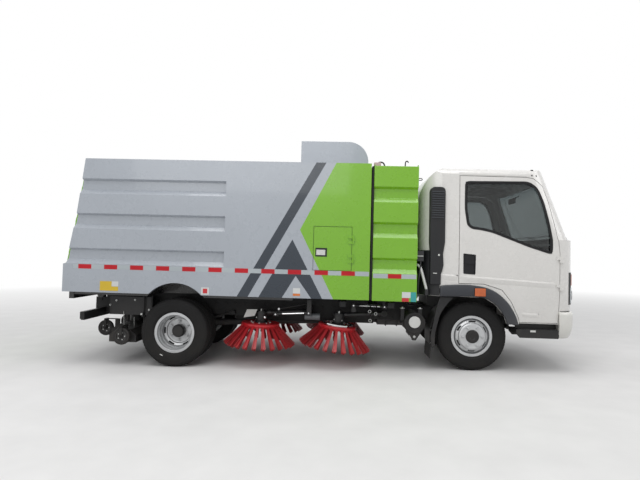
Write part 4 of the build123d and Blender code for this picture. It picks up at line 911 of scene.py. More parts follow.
for colour, tint in film_tints.items():
    film = painted(f"sticker_{colour}", tint, 0.35, 0.3, grain=200.0, height=0.0002, dust=0.1)
    for holder, body, slot in (("hopper", "hopper", "body_grey"), ("tank", "chassis", "tank_green")):
        plates = [row[2:] for row in stickers if row[:2] == (colour, holder)]
        shape = bmesh.new()
        for plate in plates:
            notice(shape, -1, *plate, 0.0008 if colour == "white" else 0.0015)
        if plates:
            piece(f"sticker_{colour}_{holder}", body, slot, (shape, film))


# The roof duct carries air from the hopper's top to the fan. It is folded from grey painted sheet,
# as are the roof hatch behind it and its strap hinges.
sheet_grey = livery("sheet_grey", grey_blue)
for node in ("roof_duct", "roof_hatch"):
    rounded(node, sheet_grey, 0.004, 3)
shape = bmesh.new()
for y in (-0.396, 0.396):
    blocks(shape, 1, (1.345, 2.182, y - 0.014, y + 0.014, 2.2852, 2.291))
duct_bolts = []
for y in (-0.402, 0.402):
    bolt = bmesh.new()
    hex_head(bolt, 0.007, 2.291, 2.299, (1.40, y, 0), "z")
    duct_bolts.append(repeated(row_tree, bolt, zinc, Count=8, Step=(0.105, 0, 0)))
piece("duct_flanges", "hopper", "body_grey", (shape, sheet_grey), *duct_bolts, width=0.001)
shape = bmesh.new()
pipe(shape, [(1.275, -0.08, 2.3132), (1.262, -0.08, 2.335), (1.262, 0.08, 2.335), (1.275, 0.08, 2.3132)], 0.006)
for y in (-0.2, 0.2):
    blocks(shape, 1, (1.055, 1.275, y - 0.012, y + 0.012, 2.3132, 2.321))
piece("hatch_handle", "roof_hatch", "body_grey", (shape, sheet_grey), width=0.002)


# The tailgate hangs from its top edge on a hinge tube. It is leaf green sheet, with three pressed ribs
# across its rear face.
rounded("tailgate", leaf_green, 0.005, 3)
tail_face = [(-1.068, 2.270), (-1.155, 1.658), (-1.256, 1.098), (-1.288, 1.084), (-1.288, 0.786)]


def tail_x(z):
    """The tailgate's rear face at a height."""
    for (x0, z0), (x1, z1) in zip(tail_face, tail_face[1:]):
        if z1 <= z <= z0:
            return x0 + (x1 - x0) * (z - z0) / (z1 - z0)
    return tail_face[-1][0]


ribs = bmesh.new()
for top in (1.995, 1.640, 1.290):
    low, high = top - 0.11, top
    proud = 0.013
    prism(ribs, [(tail_x(high) + 0.002, high), (tail_x(high - 0.03) - proud, high - 0.03),
                 (tail_x(low + 0.03) - proud, low + 0.03), (tail_x(low) + 0.002, low)], -0.955, 0.955)
piece("tailgate_ribs", "tailgate", "tank_green", (ribs, leaf_green), width=0.006, segments=3)


# The tilting cab is pressed steel in off-white gloss. Its door windows sit in black rubber, and each
# door has pressed swages, a black pull handle in a deep recess and a lock below it.
cab_white = painted("cab_white", (0.66, 0.645, 0.62, 1), 0.26, 0.5, spread=0.05, grain=100.0,
                    height=0.0002, dust=0.12, dust_top=1.0)
for node in ("cab_shell", "cab_door_left", "cab_door_right"):
    rounded(node, cab_white, 0.003, 3, 26)
glass, tree, shader = new_finish("tinted_glass", 0.0)
shader.inputs["Transmission Weight"].default_value = 1.0
shader.inputs["IOR"].default_value = 1.45
where = add(tree, "ShaderNodeTexCoord").node.outputs["Object"]
height = add(tree, "ShaderNodeSeparateXYZ", where).node.outputs["Z"]
shade = add(tree, "ShaderNodeMapRange", height, 2.02, 2.12, 0.0, 1.0)
tree.links.new(add(tree, "ShaderNodeMixRGB", shade, (0.31, 0.34, 0.34, 1), (0.20, 0.24, 0.25, 1)),
               shader.inputs["Base Color"])
smear = add(tree, "ShaderNodeTexNoise", where, None, 6.0, 5.0)
tree.links.new(add(tree, "ShaderNodeMapRange", smear, 0.4, 0.7, 0.0, 0.05), shader.inputs["Roughness"])
for node in ("windscreen", "rear_window", "door_glass_left", "door_glass_right"):
    source = frame["nodes"][node]
    source.data.materials.clear()
    source.data.materials.append(glass)

cab_half, cowl_z, corner, rear_corner, cab_rear = 0.940, 1.490, 0.280, 0.250, 2.765


def skin_y(x, z):
    """How far the cab's side stands from its middle at a place in side view."""
    up = max(0.0, z - cowl_z) / 0.910
    front = 4.500 if z <= cowl_z else 4.462 - 0.344 * up
    into = max(0.0, x - (front - corner))
    back = max(0.0, cab_rear + rear_corner - x)
    return (cab_half - 0.028 * up - (corner - sqrt(max(0.0, corner ** 2 - into ** 2)))
            - (rear_corner - sqrt(max(0.0, rear_corner ** 2 - back ** 2))))


def inset(outline, by):
    """Moves a closed outline, drawn anticlockwise or clockwise, inwards by a distance."""
    count = len(outline)
    area = sum(outline[i][0] * outline[(i + 1) % count][1] - outline[(i + 1) % count][0] * outline[i][1]
               for i in range(count))
    sign = 1 if area > 0 else -1
    result = []
    for i in range(count):
        before, here, after = (Vector(outline[(i + k) % count]) for k in (-1, 0, 1))
        first, second = (here - before).normalized(), (after - here).normalized()
        normal = Vector((-(first.y + second.y), first.x + second.x)).normalized() * sign
        half_turn = max(0.35, sqrt(max(0.0, (1 + first.dot(second)) / 2)))
        result.append(tuple(here + normal * by / half_turn))
    return result


def softened(outline, radius=0.05, steps=5):
    """Rounds the corners of a closed outline."""
    count = len(outline)
    result = []
    for i in range(count):
        before, here, after = (Vector(outline[(i + k) % count]) for k in (-1, 0, 1))
        reach = min(radius, (before - here).length * 0.45, (after - here).length * 0.45)
        start = here + (before - here).normalized() * reach
        end = here + (after - here).normalized() * reach
        for k in range(steps + 1):
            t = k / steps
            result.append(tuple(start * (1 - t) ** 2 + here * 2 * t * (1 - t) + end * t ** 2))
    return result


def band(shape, outer, inner, side, off, rise):
    """A flat band between two outlines that follows the cab's side."""
    lines = ((outer, off), (outer, off + rise), (inner, off + rise * 0.6), (inner, off - 0.006))
    skinned(shape, [[(x, side * (skin_y(x, z) + lift), z) for x, z in line] for line, lift in lines],
            capped=False, looped=True)


window_line = [
    (3.245, 2.120), (3.940, 2.128), (4.040, 2.062), (4.112, 1.898), (4.166, 1.670), (4.200, 1.476),
    (4.196, 1.330), (3.948, 1.406), (3.707, 1.497), (3.545, 1.558), (3.416, 1.585), (3.319, 1.594),
    (3.270, 1.634), (3.243, 1.813),
]
for name, side in sides:
    seal = bmesh.new()
    outer = softened(inset(window_line, -0.007), 0.055)
    band(seal, outer, inset(outer, 0.030), side, -0.002, 0.0045)
    piece(f"window_seal_{name}", f"cab_door_{name}", "black_plastic", (seal, black_rubber), crease=50)


def swage(shape, start, end, side, width, proud, steps=20):
    """A pressed line along the cab's side: a sharp step at its top that fades out below."""
    rows = []
    for k in range(steps + 1):
        t = k / steps
        x, z = start[0] + (end[0] - start[0]) * t, start[1] + (end[1] - start[1]) * t
        fade = min(1.0, 10 * t, 10 * (1 - t))
        section = ((0.012, -0.0015), (0.010, 0.0), (-0.006, proud * fade), (-0.012, 1.02 * proud * fade),
                   (-width, -0.0005), (-width, -0.0015))
        rows.append([(x, side * (skin_y(x, z + down) + lift), z + down) for down, lift in section])
    skinned(shape, rows)


for name, side in sides:
    pressed = bmesh.new()
    swage(pressed, (3.190, 1.061), (4.262, 1.005), side, 0.060, 0.009)
    swage(pressed, (3.870, 0.668), (4.060, 0.660), side, 0.042, 0.006)
    piece(f"door_swage_{name}", f"cab_door_{name}", "cab_white", (pressed, cab_white), crease=20)
    pressed = bmesh.new()
    swage(pressed, (2.990 if side < 0 else 2.900, 1.071), (3.172, 1.062), side, 0.060, 0.009, 6)
    gutter = bmesh.new()
    swage(gutter, (3.170, 2.2135), (3.960, 2.2060), side, 0.016, 0.004)
    piece(f"corner_swage_{name}", "cab", "cab_white", (pressed, cab_white), (gutter, cab_white), crease=20)
handle_black = painted("handle_black", (0.010, 0.010, 0.012, 1), 0.5, 0.0, shine=0.3, grain=260.0, dust=0.05)
for name, side in sides:
    cup = bmesh.new()
    outer = softened([(3.230, 1.088), (3.362, 1.080), (3.366, 1.303), (3.227, 1.314)], 0.012, 3)
    inner = inset(outer, 0.007)
    band(cup, outer, inner, side, -0.014, 0.016)
    base = [cup.verts.new((x, side * (cab_half - 0.0132), z)) for x, z in inner]
    cup.faces.new(base)
    flap = bmesh.new()
    prism(flap, [(3.238, 1.200), (3.354, 1.195), (3.355, 1.242), (3.238, 1.247)], side * 0.9272, side * 0.9397)
    disc(flap, side * 0.926, side * 0.930, 0.012, (3.297, 0, 1.130))
    piece(f"door_handle_{name}", f"cab_door_{name}", "black_plastic", (cup, handle_black), (flap, handle_black),
          width=0.0015)


# On each side of the roof sits the black foot that a door mirror's arm screws to, over two plugged
# holes in the roof's edge.
mirror_foot = []
for name, side in sides:
    foot = bmesh.new()
    for x in (3.978, 4.032):
        disc(foot, side * 0.880, side * (skin_y(x, 2.203) + 0.003), 0.009, (x, 0, 2.203), count=16)
    disc(foot, 2.222, 2.262, 0.024, (4.000, side * 0.850, 0), "z", 20)
    disc(foot, 2.262, 2.278, 0.015, (4.000, side * 0.850, 0), "z", 20)
    mirror_foot.append((foot, handle_black))
piece("mirror_feet", "cab", "black_plastic", *mirror_foot, width=0.002)


# The wheel arch flares are grained grey plastic, each with an orange side lamp; the air intake stack
# on the right is black plastic with louvres down its upper half. A thin black sheet round the cab's
# right rear corner, next to the stack, is painted shade and painted reflection.
flare_grey = painted("flare_grey", (0.030, 0.033, 0.040, 1), 0.5, 0.05, shine=0.4, grain=320.0,
                     height=0.0006, dust=0.15)
black_plastic = painted("black_plastic", (0.011, 0.0115, 0.013, 1), 0.5, 0.0, shine=0.35, grain=300.0,
                        height=0.0005, dust=0.12)
amber = painted("amber_lens", (0.60, 0.12, 0.02, 1), 0.2, 0.5, spread=0.25, grain=500.0, height=0.0006,
                dust=0.1)
flare_outer = [
    (2.974, 0.832), (2.974, 0.925), (3.000, 0.952), (3.140, 0.964), (3.300, 0.966), (3.470, 0.943),
    (3.590, 0.893), (3.694, 0.808), (3.761, 0.722), (3.812, 0.625), (3.836, 0.545),
]
flare_inner = [
    (2.984, 0.832), (3.010, 0.832), (3.060, 0.832), (3.140, 0.833), (3.260, 0.836), (3.400, 0.834),
    (3.494, 0.812), (3.584, 0.755), (3.648, 0.685), (3.690, 0.612), (3.712, 0.545),
]
flare_section = [                # share of the way from outer to inner line, distance from the truck's middle
    (0, 0.9402), (0, 0.952), (0.04, 0.960), (0.12, 0.9645), (0.5, 0.967), (0.88, 0.9655), (0.96, 0.962),
    (1, 0.955), (1, 0.9402),
]


def smooth_line(points, count):
    """Points along a smooth curve through the given ones, evenly numbered between them."""
    result = []
    for k in range(count):
        t = k / (count - 1) * (len(points) - 1)
        i = min(int(t), len(points) - 2)
        t -= i
        p0, p1, p2, p3 = (Vector(points[min(max(i + j, 0), len(points) - 1)]) for j in (-1, 0, 1, 2))
        result.append(0.5 * (2 * p1 + (p2 - p0) * t + (2 * p0 - 5 * p1 + 4 * p2 - p3) * t ** 2
                             + (3 * p1 - p0 - 3 * p2 + p3) * t ** 3))
    return result


for name, side in sides:
    arch = bmesh.new()
    skinned(arch, [[(out.x + (near.x - out.x) * t, side * y, out.y + (near.y - out.y) * t)
                    for t, y in flare_section]
                   for out, near in zip(smooth_line(flare_outer, 61), smooth_line(flare_inner, 61))])
    bmesh.ops.remove_doubles(arch, verts=arch.verts, dist=1e-6)
    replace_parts(piece(f"arch_flare_{name}_moulded", "cab", "flare_grey", (arch, flare_grey), crease=45),
                f"arch_flare_{name}")
    lens = bmesh.new()
    blocks(lens, side, (3.352, 3.468, 0.9655, 0.976, 0.846, 0.932))
    rim = bmesh.new()
    blocks(rim, side, (3.345, 3.475, 0.9655, 0.9695, 0.839, 0.939))
    ridge = bmesh.new()
    blocks(ridge, side, (3.364, 3.370, 0.976, 0.978, 0.854, 0.924))
    ridge, finish = repeated(row_tree, ridge, amber, Count=9, Step=(0.0112, 0, 0))
    piece(f"side_lamp_{name}", "cab", "flare_grey", (lens, amber), (rim, black_plastic), (ridge, amber),
          width=0.003)
intake_face = 0.962
intake = bmesh.new()
outline = (softened([(2.852, 1.900), (2.852, 2.050), (3.018, 2.050), (3.018, 1.900)], 0.055, 6)[7:21]
           + [(3.020, 1.430), (3.000, 1.300), (3.008, 1.180), (2.990, 1.100), (2.980, 1.085), (2.979, 0.960),
              (2.862, 0.960), (2.858, 1.350), (2.852, 1.430)])
skinned(intake, [[(x, -intake_face, z) for x, z in outline],
                 [(x, -skin_y(x, z) - 0.0003, z) for x, z in outline]])
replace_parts(piece("air_intake_moulded", "cab", "black_plastic", (intake, black_plastic), width=0.008,
                  segments=3), "air_intake")
slat = bmesh.new()
prism(slat, [(2.868, 1.700), (3.004, 1.700), (3.004, 1.712), (2.868, 1.712)],
      -intake_face + 0.0002, -intake_face - 0.010)
slats = repeated(row_tree, slat, flare_grey, Count=12, Step=(0, 0, 0.0262))
# Painted shade and painted reflection: a thin black sheet wrapped round the cab's right rear corner, between the
# intake and the tank, darkens the white paint there.
corner_shade_sheet = bmesh.new()
corner_line = [(cab_rear + rear_corner + r * cos(radians(a)), -cab_half + rear_corner + r * sin(radians(a)))
               for r, angles in ((0.264, range(180, 262, 8)), (0.2503, range(260, 179, -8))) for a in angles]
prism(corner_shade_sheet, corner_line, 0.838, 1.340, "xy")
dot = bmesh.new()
disc(dot, -intake_face, -intake_face - 0.004, 0.011, (2.953, 0, 1.289), count=20)
blocks(dot, 1, (2.890, 2.935, -0.9655, -0.9621, 1.082, 1.090))
piece("intake_louvres_and_painted_shade", "cab", "black_plastic", slats, (corner_shade_sheet, black_plastic), (dot, pale_cover), width=0.0015)


# Under each door a black sheet tread box hangs from the frame on a riser plate. Behind each front
# wheel is a curved plastic mudguard with a lip and a rubber flap.
rail_face = 0.3755               # where brackets start, a hair off the rail
tread_box = [(3.815, 0.492), (3.815, 0.444), (3.853, 0.401), (4.268, 0.401), (4.278, 0.411), (4.278, 0.492)]
lip_rear = [(2.896, 0.262), (2.884, 0.379), (2.905, 0.493), (2.935, 0.652), (2.962, 0.760), (2.985, 0.822)]
lip_front = [(3.130, 0.822), (3.080, 0.769), (2.992, 0.640), (2.950, 0.494), (2.933, 0.400), (2.932, 0.262)]
for name, side in sides:
    step = bmesh.new()
    prism(step, tread_box, side * 0.937, side * 0.945)
    prism(step, tread_box, side * 0.700, side * 0.708)
    blocks(step, side, (3.815, 4.278, 0.7085, 0.9365, 0.484, 0.492),
           (3.815, 3.823, 0.7085, 0.9365, 0.444, 0.4835), (4.270, 4.278, 0.7085, 0.9365, 0.405, 0.4835),
           (3.828, 4.276, 0.862, 0.870, 0.4925, 0.556), (3.900, 4.000, rail_face, 0.712, 0.495, 0.535),
           (3.900, 4.000, 0.700, 0.706, 0.4925, 0.535), (3.900, 4.000, 0.706, 0.868, 0.528, 0.535))
    grip = bmesh.new()
    blocks(grip, side, (3.840, 4.255, 0.878, 0.884, 0.492, 0.496))
    grips = repeated(row_tree, grip, black_plastic, Count=5, Step=(0, side * 0.014, 0))
    mark = bmesh.new()
    if side < 0:
        blocks(mark, side, (3.967, 4.026, 0.9451, 0.9465, 0.466, 0.487))
    else:
        hex_head(mark, 0.008, 0.945, 0.953, (3.900, 0, 0.450))
    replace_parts(piece(f"cab_step_{name}_folded", "chassis", "black_plastic", (step, black_plastic), grips,
                      (mark, pale_cover), width=0.0015), f"cab_step_{name}")
    guard = bmesh.new()
    arc = [(front_axle_x - r * cos(radians(a)), tyre_radius + r * sin(radians(a)))
           for r, angles in ((0.486, range(-15, 65, 4)), (0.480, range(61, -16, -4))) for a in angles]
    prism(guard, arc, side * 0.600, side * 0.906)
    prism(guard, smooth_line(lip_rear, 31) + smooth_line(lip_front, 31), side * 0.906, side * 0.930)
    flap = bmesh.new()
    prism(flap, [(2.884, 0.300), (2.872, 0.140), (2.880, 0.140), (2.894, 0.300)], side * 0.605, side * 0.925)
    blocks(flap, side, (2.866, 2.898, rail_face, 0.630, 0.500, 0.536))
    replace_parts(piece(f"front_mudguard_{name}_curved", "chassis", "black_plastic", (guard, black_plastic),
                      (flap, black_rubber), width=0.003, segments=3), f"front_mudguard_{name}")


# Inside the cab: a moulded dark dashboard with its wheel and instruments, and a cloth bench in three
# places, seen through the glass.
dash_grey = painted("dash_grey", (0.055, 0.056, 0.06, 1), 0.6, 0.0, grain=300.0, height=0.0006, dust=0.0)
rounded("dashboard", dash_grey, 0.012, 3)
seat_cloth = painted("seat_cloth", (0.060, 0.062, 0.070, 1), 0.85, 0.0, spread=0.2, grain=420.0,
                     height=0.0015, dust=0.0)


def cushion(name, lo, hi, lean_back, crown):
    """A crowned seat pad between two corners, its sides drawn in, leaning about its lower rear edge."""
    shape = bmesh.new()
    bmesh.ops.create_cube(shape, size=1.0)
    bmesh.ops.subdivide_edges(shape, edges=shape.edges[:], cuts=5, use_grid_fill=True)
    size = Vector(hi) - Vector(lo)
    thin = min(range(3), key=lambda k: size[k])
    for vert in shape.verts:
        spot = vert.co * 2
        others = [k for k in range(3) if k != thin]
        swell = (1 - spot[others[0]] ** 2) * (1 - spot[others[1]] ** 2)
        spot[thin] *= 1 + crown * swell
        for k in others:
            spot[k] *= 1 - 0.03 * (1 - spot[3 - k - thin] ** 2) * (1 - abs(spot[thin]) * 0.5)
        vert.co = Vector(lo) + (spot / 2 + Vector((0.5, 0.5, 0.5))) * size
    pivot = Vector((lo[0], 0, lo[2]))
    bmesh.ops.rotate(shape, verts=shape.verts, cent=pivot, matrix=Matrix.Rotation(lean_back, 3, "Y"))
    pad = piece(name, "cab", "seat_cloth", (shape, seat_cloth), crease=80)
    soft = pad.modifiers.new("soft", "SUBSURF")
    soft.levels = soft.render_levels = 2
    return pad


places = (("right", -0.835, -0.30), ("middle", -0.28, 0.13), ("left", 0.24, 0.835))
for name, low, high in places:
    pad = cushion(f"seat_pad_{name}", (3.10, low, 1.105), (3.58, high, 1.212), radians(-1.5), 0.10)
    if name == "right":
        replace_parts(pad, "bench")
    cushion(f"seat_back_{name}", (3.035, low, 1.215), (3.128, high, 1.80), radians(-10.5), 0.12)
shape = bmesh.new()
for low, high in ((-0.84, -0.46), (0.46, 0.84)):
    blocks(shape, 1, (3.11, 3.55, low, high, 0.8755, 1.10))
blocks(shape, 1, (3.11, 3.55, -0.42, 0.42, 1.0875, 1.10))
piece("seat_boxes", "cab", "dash_grey", (shape, dash_grey), width=0.008)


# The bumper is a one-piece plastic moulding in off-white, drawn in towards its foot and carried by
# two arms. A slatted air slot is let into its middle and a fog lamp into each end.
bumper_beige = painted("bumper_beige", (0.68, 0.67, 0.63, 1), 0.3, 0.3, spread=0.08, dust=0.15)


def wrapped(front, half, corner, bulge):
    """Gives a function that stands a point on a bowed front with round corners: s runs along it."""
    flat = half - corner

    def place(s, lift, z):
        side, s = (1, s) if s >= 0 else (-1, -s)
        ahead_by = front(z) if callable(front) else front
        if s <= flat:
            return ahead_by + bulge * (1 - (s / flat) ** 2) + lift, side * s, z
        turn = (s - flat) / corner
        return ahead_by - corner + (corner + lift) * cos(turn), side * (flat + (corner + lift) * sin(turn)), z
    return place


def wrap(shape, place, reach, section, steps=24):
    """Runs a closed section of (lift, z) along a bowed front from one place to another."""
    skinned(shape, [[place(reach[0] + (reach[1] - reach[0]) * k / steps, lift, z) for lift, z in section]
                    for k in range(steps + 1)])


def strip(shape, place, reach, z, lift=(-0.004, 0.002), steps=24):
    """A plate that follows a bowed front."""
    wrap(shape, place, reach, [(lift[0], z[0]), (lift[1], z[0]), (lift[1], z[1]), (lift[0], z[1])], steps)


on_bumper = wrapped(4.506, 0.966, 0.250, 0.052)
shape = bmesh.new()
wrap(shape, on_bumper, (-1.0887, 1.0887), [
    (-0.034, 0.694), (-0.014, 0.692), (-0.004, 0.680), (-0.001, 0.655), (0.0, 0.600), (-0.001, 0.540),
    (-0.005, 0.500), (-0.014, 0.462), (-0.030, 0.425), (-0.042, 0.406), (-0.048, 0.402), (-0.066, 0.404),
    (-0.050, 0.430), (-0.034, 0.466), (-0.025, 0.504), (-0.021, 0.550), (-0.021, 0.655), (-0.036, 0.682)], 96)
for side in (-1, 1):
    blocks(shape, side, (4.150, 4.548, 0.318, 0.334, 0.4892, 0.521))
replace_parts(piece("bumper_moulded", "chassis", "bumper_beige", (shape, bumper_beige), crease=50), "bumper")
dark = bmesh.new()
strip(dark, on_bumper, (-0.47, 0.47), (0.500, 0.560))
for s in (-0.66, 0.66):
    strip(dark, on_bumper, (s - 0.10, s + 0.10), (0.520, 0.610))
slat = bmesh.new()
for z in (0.516, 0.530, 0.544):
    strip(slat, on_bumper, (-0.46, 0.46), (z - 0.0025, z + 0.0025), (0.0, 0.006))
fog = bmesh.new()
for s in (-0.66, 0.66):
    strip(fog, on_bumper, (s - 0.065, s + 0.065), (0.534, 0.596), (0.0, 0.0075), 10)
lamp_clear = painted("lamp_clear", (0.62, 0.65, 0.67, 1), 0.12, 0.6, spread=0.3, grain=700.0, height=0.0008,
                     dust=0.05)
piece("bumper_lamps_and_slot", "chassis", "bumper_beige", (dark, black_plastic), (slat, black_plastic),
      (fog, lamp_clear), width=0.002, crease=40)


# The cab's nose has tall lamps round its corners, a slatted black grille between them, a black cowl
# under the windscreen with two wipers, and a mirror inside the glass.
def nose(z):
    """The front face's place along X at a height."""
    return 4.500 if z <= cowl_z else 4.462 - 0.378 * (z - cowl_z)


on_nose = wrapped(nose, cab_half, corner, 0.050)
lamp_rim, lamp_glass, turn_glass, grille, bars = (bmesh.new() for k in range(5))
for side in (-1, 1):
    strip(lamp_rim, on_nose, (side * 0.545, side * 0.880), (0.770, 1.130), (-0.004, 0.006))
    strip(lamp_glass, on_nose, (side * 0.560, side * 0.845), (0.785, 0.960), (0.004, 0.014))
    strip(turn_glass, on_nose, (side * 0.575, side * 0.800), (0.985, 1.110), (0.004, 0.012))
    for s in (0.635, 0.765):
        spot = Vector(on_nose(side * s, 0.0, 0.873))
        along = Vector(on_nose(side * s, 1.0, 0.873)) - spot
        collar(lamp_rim, 0.012, 0.0155, 0.048, 0.056, axis="x", count=32)
        ring = [v for v in lamp_rim.verts if v.co.length < 0.2]
        bmesh.ops.transform(lamp_rim, verts=ring, matrix=Matrix.Translation(spot)
                            @ along.to_track_quat("X", "Z").to_matrix().to_4x4())
strip(grille, on_nose, (-0.500, 0.500), (0.835, 1.020))
for k in range(6):
    z = 0.850 + 0.031 * k
    wrap(bars, on_nose, (-0.490, 0.490), [(0.0, z), (0.010, z + 0.004), (0.010, z + 0.012), (0.0, z + 0.014)])
strip(grille, on_nose, (-0.780, 0.780), (1.492, 1.527))
wiper = bmesh.new()
for s in (-0.52, 0.10):
    disc(wiper, 0.0, 0.022, 0.016, on_nose(s, -0.002, 1.512), "x", 16)
    for radius, spots in ((0.006, ((0.0, 0.016, 1.512), (0.20, 0.020, 1.545), (0.40, 0.018, 1.575))),
                          (0.005, ((0.10, 0.006, 1.560), (0.38, 0.006, 1.582), (0.66, 0.006, 1.566)))):
        pipe(wiper, [on_nose(s + along, lift, z) for along, lift, z in spots], radius)
piece("nose_lamps_and_grille", "cab", "black_plastic", (lamp_rim, black_plastic), (lamp_glass, lamp_clear),
      (turn_glass, amber), (grille, black_plastic), (bars, black_plastic), (wiper, handle_black),
      width=0.002, crease=40)
mirror = bmesh.new()
prism(mirror, softened([(-0.110, 1.985), (0.110, 1.985), (0.110, 2.055), (-0.110, 2.055)], 0.025),
      4.075, 4.095, "yz")
pipe(mirror, [(4.093, 0, 2.04), (4.125, 0, 2.07), (4.175, 0, 2.09)], 0.007)
piece("inside_mirror", "cab", "dash_grey", (mirror, handle_black), width=0.004)


# The suction nozzle is welded from black sheet, open below, deep in the middle and shallow at its
# wings. A pipe joins it to the hopper, two rods guide it, and it runs on four casters with dark
# wheels, moulded rubber tyres and five bolts.
def hood(shape, outline, half, sheet):
    """A sheet hood: an outline in side view, closed at both ends and open below."""
    part = bmesh.new()
    prism(part, outline, -half, half)
    bmesh.ops.recalc_face_normals(part, faces=part.faces)
    part.normal_update()
    lowest = min(z for x, z in outline)
    below = [face for face in part.faces if all(abs(vert.co.z - lowest) < 1e-6 for vert in face.verts)]
    bmesh.ops.delete(part, geom=below, context="FACES_ONLY")
    bmesh.ops.solidify(part, geom=part.faces[:], thickness=sheet)
    made = bpy.data.meshes.new("hood")
    part.to_mesh(made)
    part.free()
    shape.from_mesh(made)
    bpy.data.meshes.remove(made)


nozzle_body = frame["nodes"]["nozzle"]["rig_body"]
pipe_x, caster_z = -0.800, 0.268
casters = (("front", -0.620, 0.892), ("rear", -1.080, 0.320))
shape, links = bmesh.new(), bmesh.new()
for rear, half in ((-0.965, 0.420), (-0.800, 0.820)):
    hood(shape, [(rear, 0.188), (rear, 0.270), (rear + 0.085, 0.330), (-0.560, 0.330), (-0.480, 0.270),
                 (-0.480, 0.188)], half, 0.010)
collar(shape, 0.326, 0.733, 0.095, 0.105, (pipe_x, 0, 0), "z")
for z in (0.34, 0.50, 0.70):
    collar(shape, z, z + 0.012, 0.1052, 0.112, (pipe_x, 0, 0), "z")
for name, side in sides:
    disc(shape, 0.326, 0.725, 0.018, (-0.620, side * 0.250, 0), "z", 24)
    blocks(links, side, (-0.474, -0.470, 0.02, 0.80, 0.196, 0.262))
    for which, x, y in casters:
        for edge in (-0.036, 0.030):
            prism(shape, [(x - 0.020, 0.266), (x, 0.252), (x + 0.020, 0.266), (x + 0.014, 0.380),
                          (x - 0.014, 0.380)], side * (y + edge), side * (y + edge + 0.006))
        disc(shape, side * (y - 0.046), side * (y + 0.046), 0.010, (x, 0, caster_z), count=16)
        hex_head(links, 0.013, side * (y + 0.0365), side * (y + 0.050), (x, 0, caster_z))
        blocks(shape, side, (x - 0.014, x + 0.014, y - 0.036, y + 0.036, 0.372, 0.386))
        if which == "rear":
            blocks(shape, side, (x - 0.014, -0.905, y - 0.012, y + 0.012, 0.376, 0.386),
                   (-0.963, -0.905, y - 0.012, y + 0.012, 0.270, 0.386))
        else:
            blocks(shape, side, (x - 0.014, x + 0.014, 0.760, y - 0.030, 0.372, 0.386),
                   (x - 0.014, x + 0.014, 0.760, 0.790, 0.322, 0.386))
rods = bmesh.new()
for name, side in sides:
    pipe(rods, [(-0.738, side * 0.572, 0.328), (-0.750, side * 0.572, 0.511)], 0.004, order=2)
    pipe(rods, [(-0.614, side * 0.572, 0.328), (-0.619, side * 0.572, 0.445)], 0.004, order=2)
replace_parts(piece("nozzle_welded", nozzle_body, "chassis_black", (shape, chassis_black), (links, black_rubber),
                  (rods, zinc), width=0.0015), "nozzle")
caster_rubber = painted("caster_rubber", (0.010, 0.010, 0.011, 1), 0.65, 0.0, shine=0.3, grain=200.0,
                        dust=0.12)
caster_tyre = mirrored([(0.018, 0.0662), (0.023, 0.072), (0.0235, 0.086), (0.018, 0.095), (0.008, 0.098)])
caster_wheel = mirrored([(0.0298, 0.0105), (0.0298, 0.024), (0.012, 0.027), (0.010, 0.052), (0.021, 0.058),
                         (0.021, 0.0661)])
for name, side in sides:
    for which, x, y in casters:
        centre = (x, side * y, caster_z)
        tyre, wheel = bmesh.new(), bmesh.new()
        turned(tyre, caster_tyre, centre)
        turned(wheel, caster_wheel, centre)
        bolt = bmesh.new()
        hex_head(bolt, 0.006, side * 0.010, side * 0.017, (0.040, 0, 0))
        bolts, finish = repeated(turn_tree, bolt, zinc, Count=5)
        bmesh.ops.translate(bolts, verts=bolts.verts, vec=centre)
        node = f"caster_{which}_{name}"
        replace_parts(piece(node + "_tyred", frame["nodes"][node]["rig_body"], "caster_rubber",
                          (tyre, caster_rubber), (wheel, arm_steel), (bolts, zinc), crease=40), node)


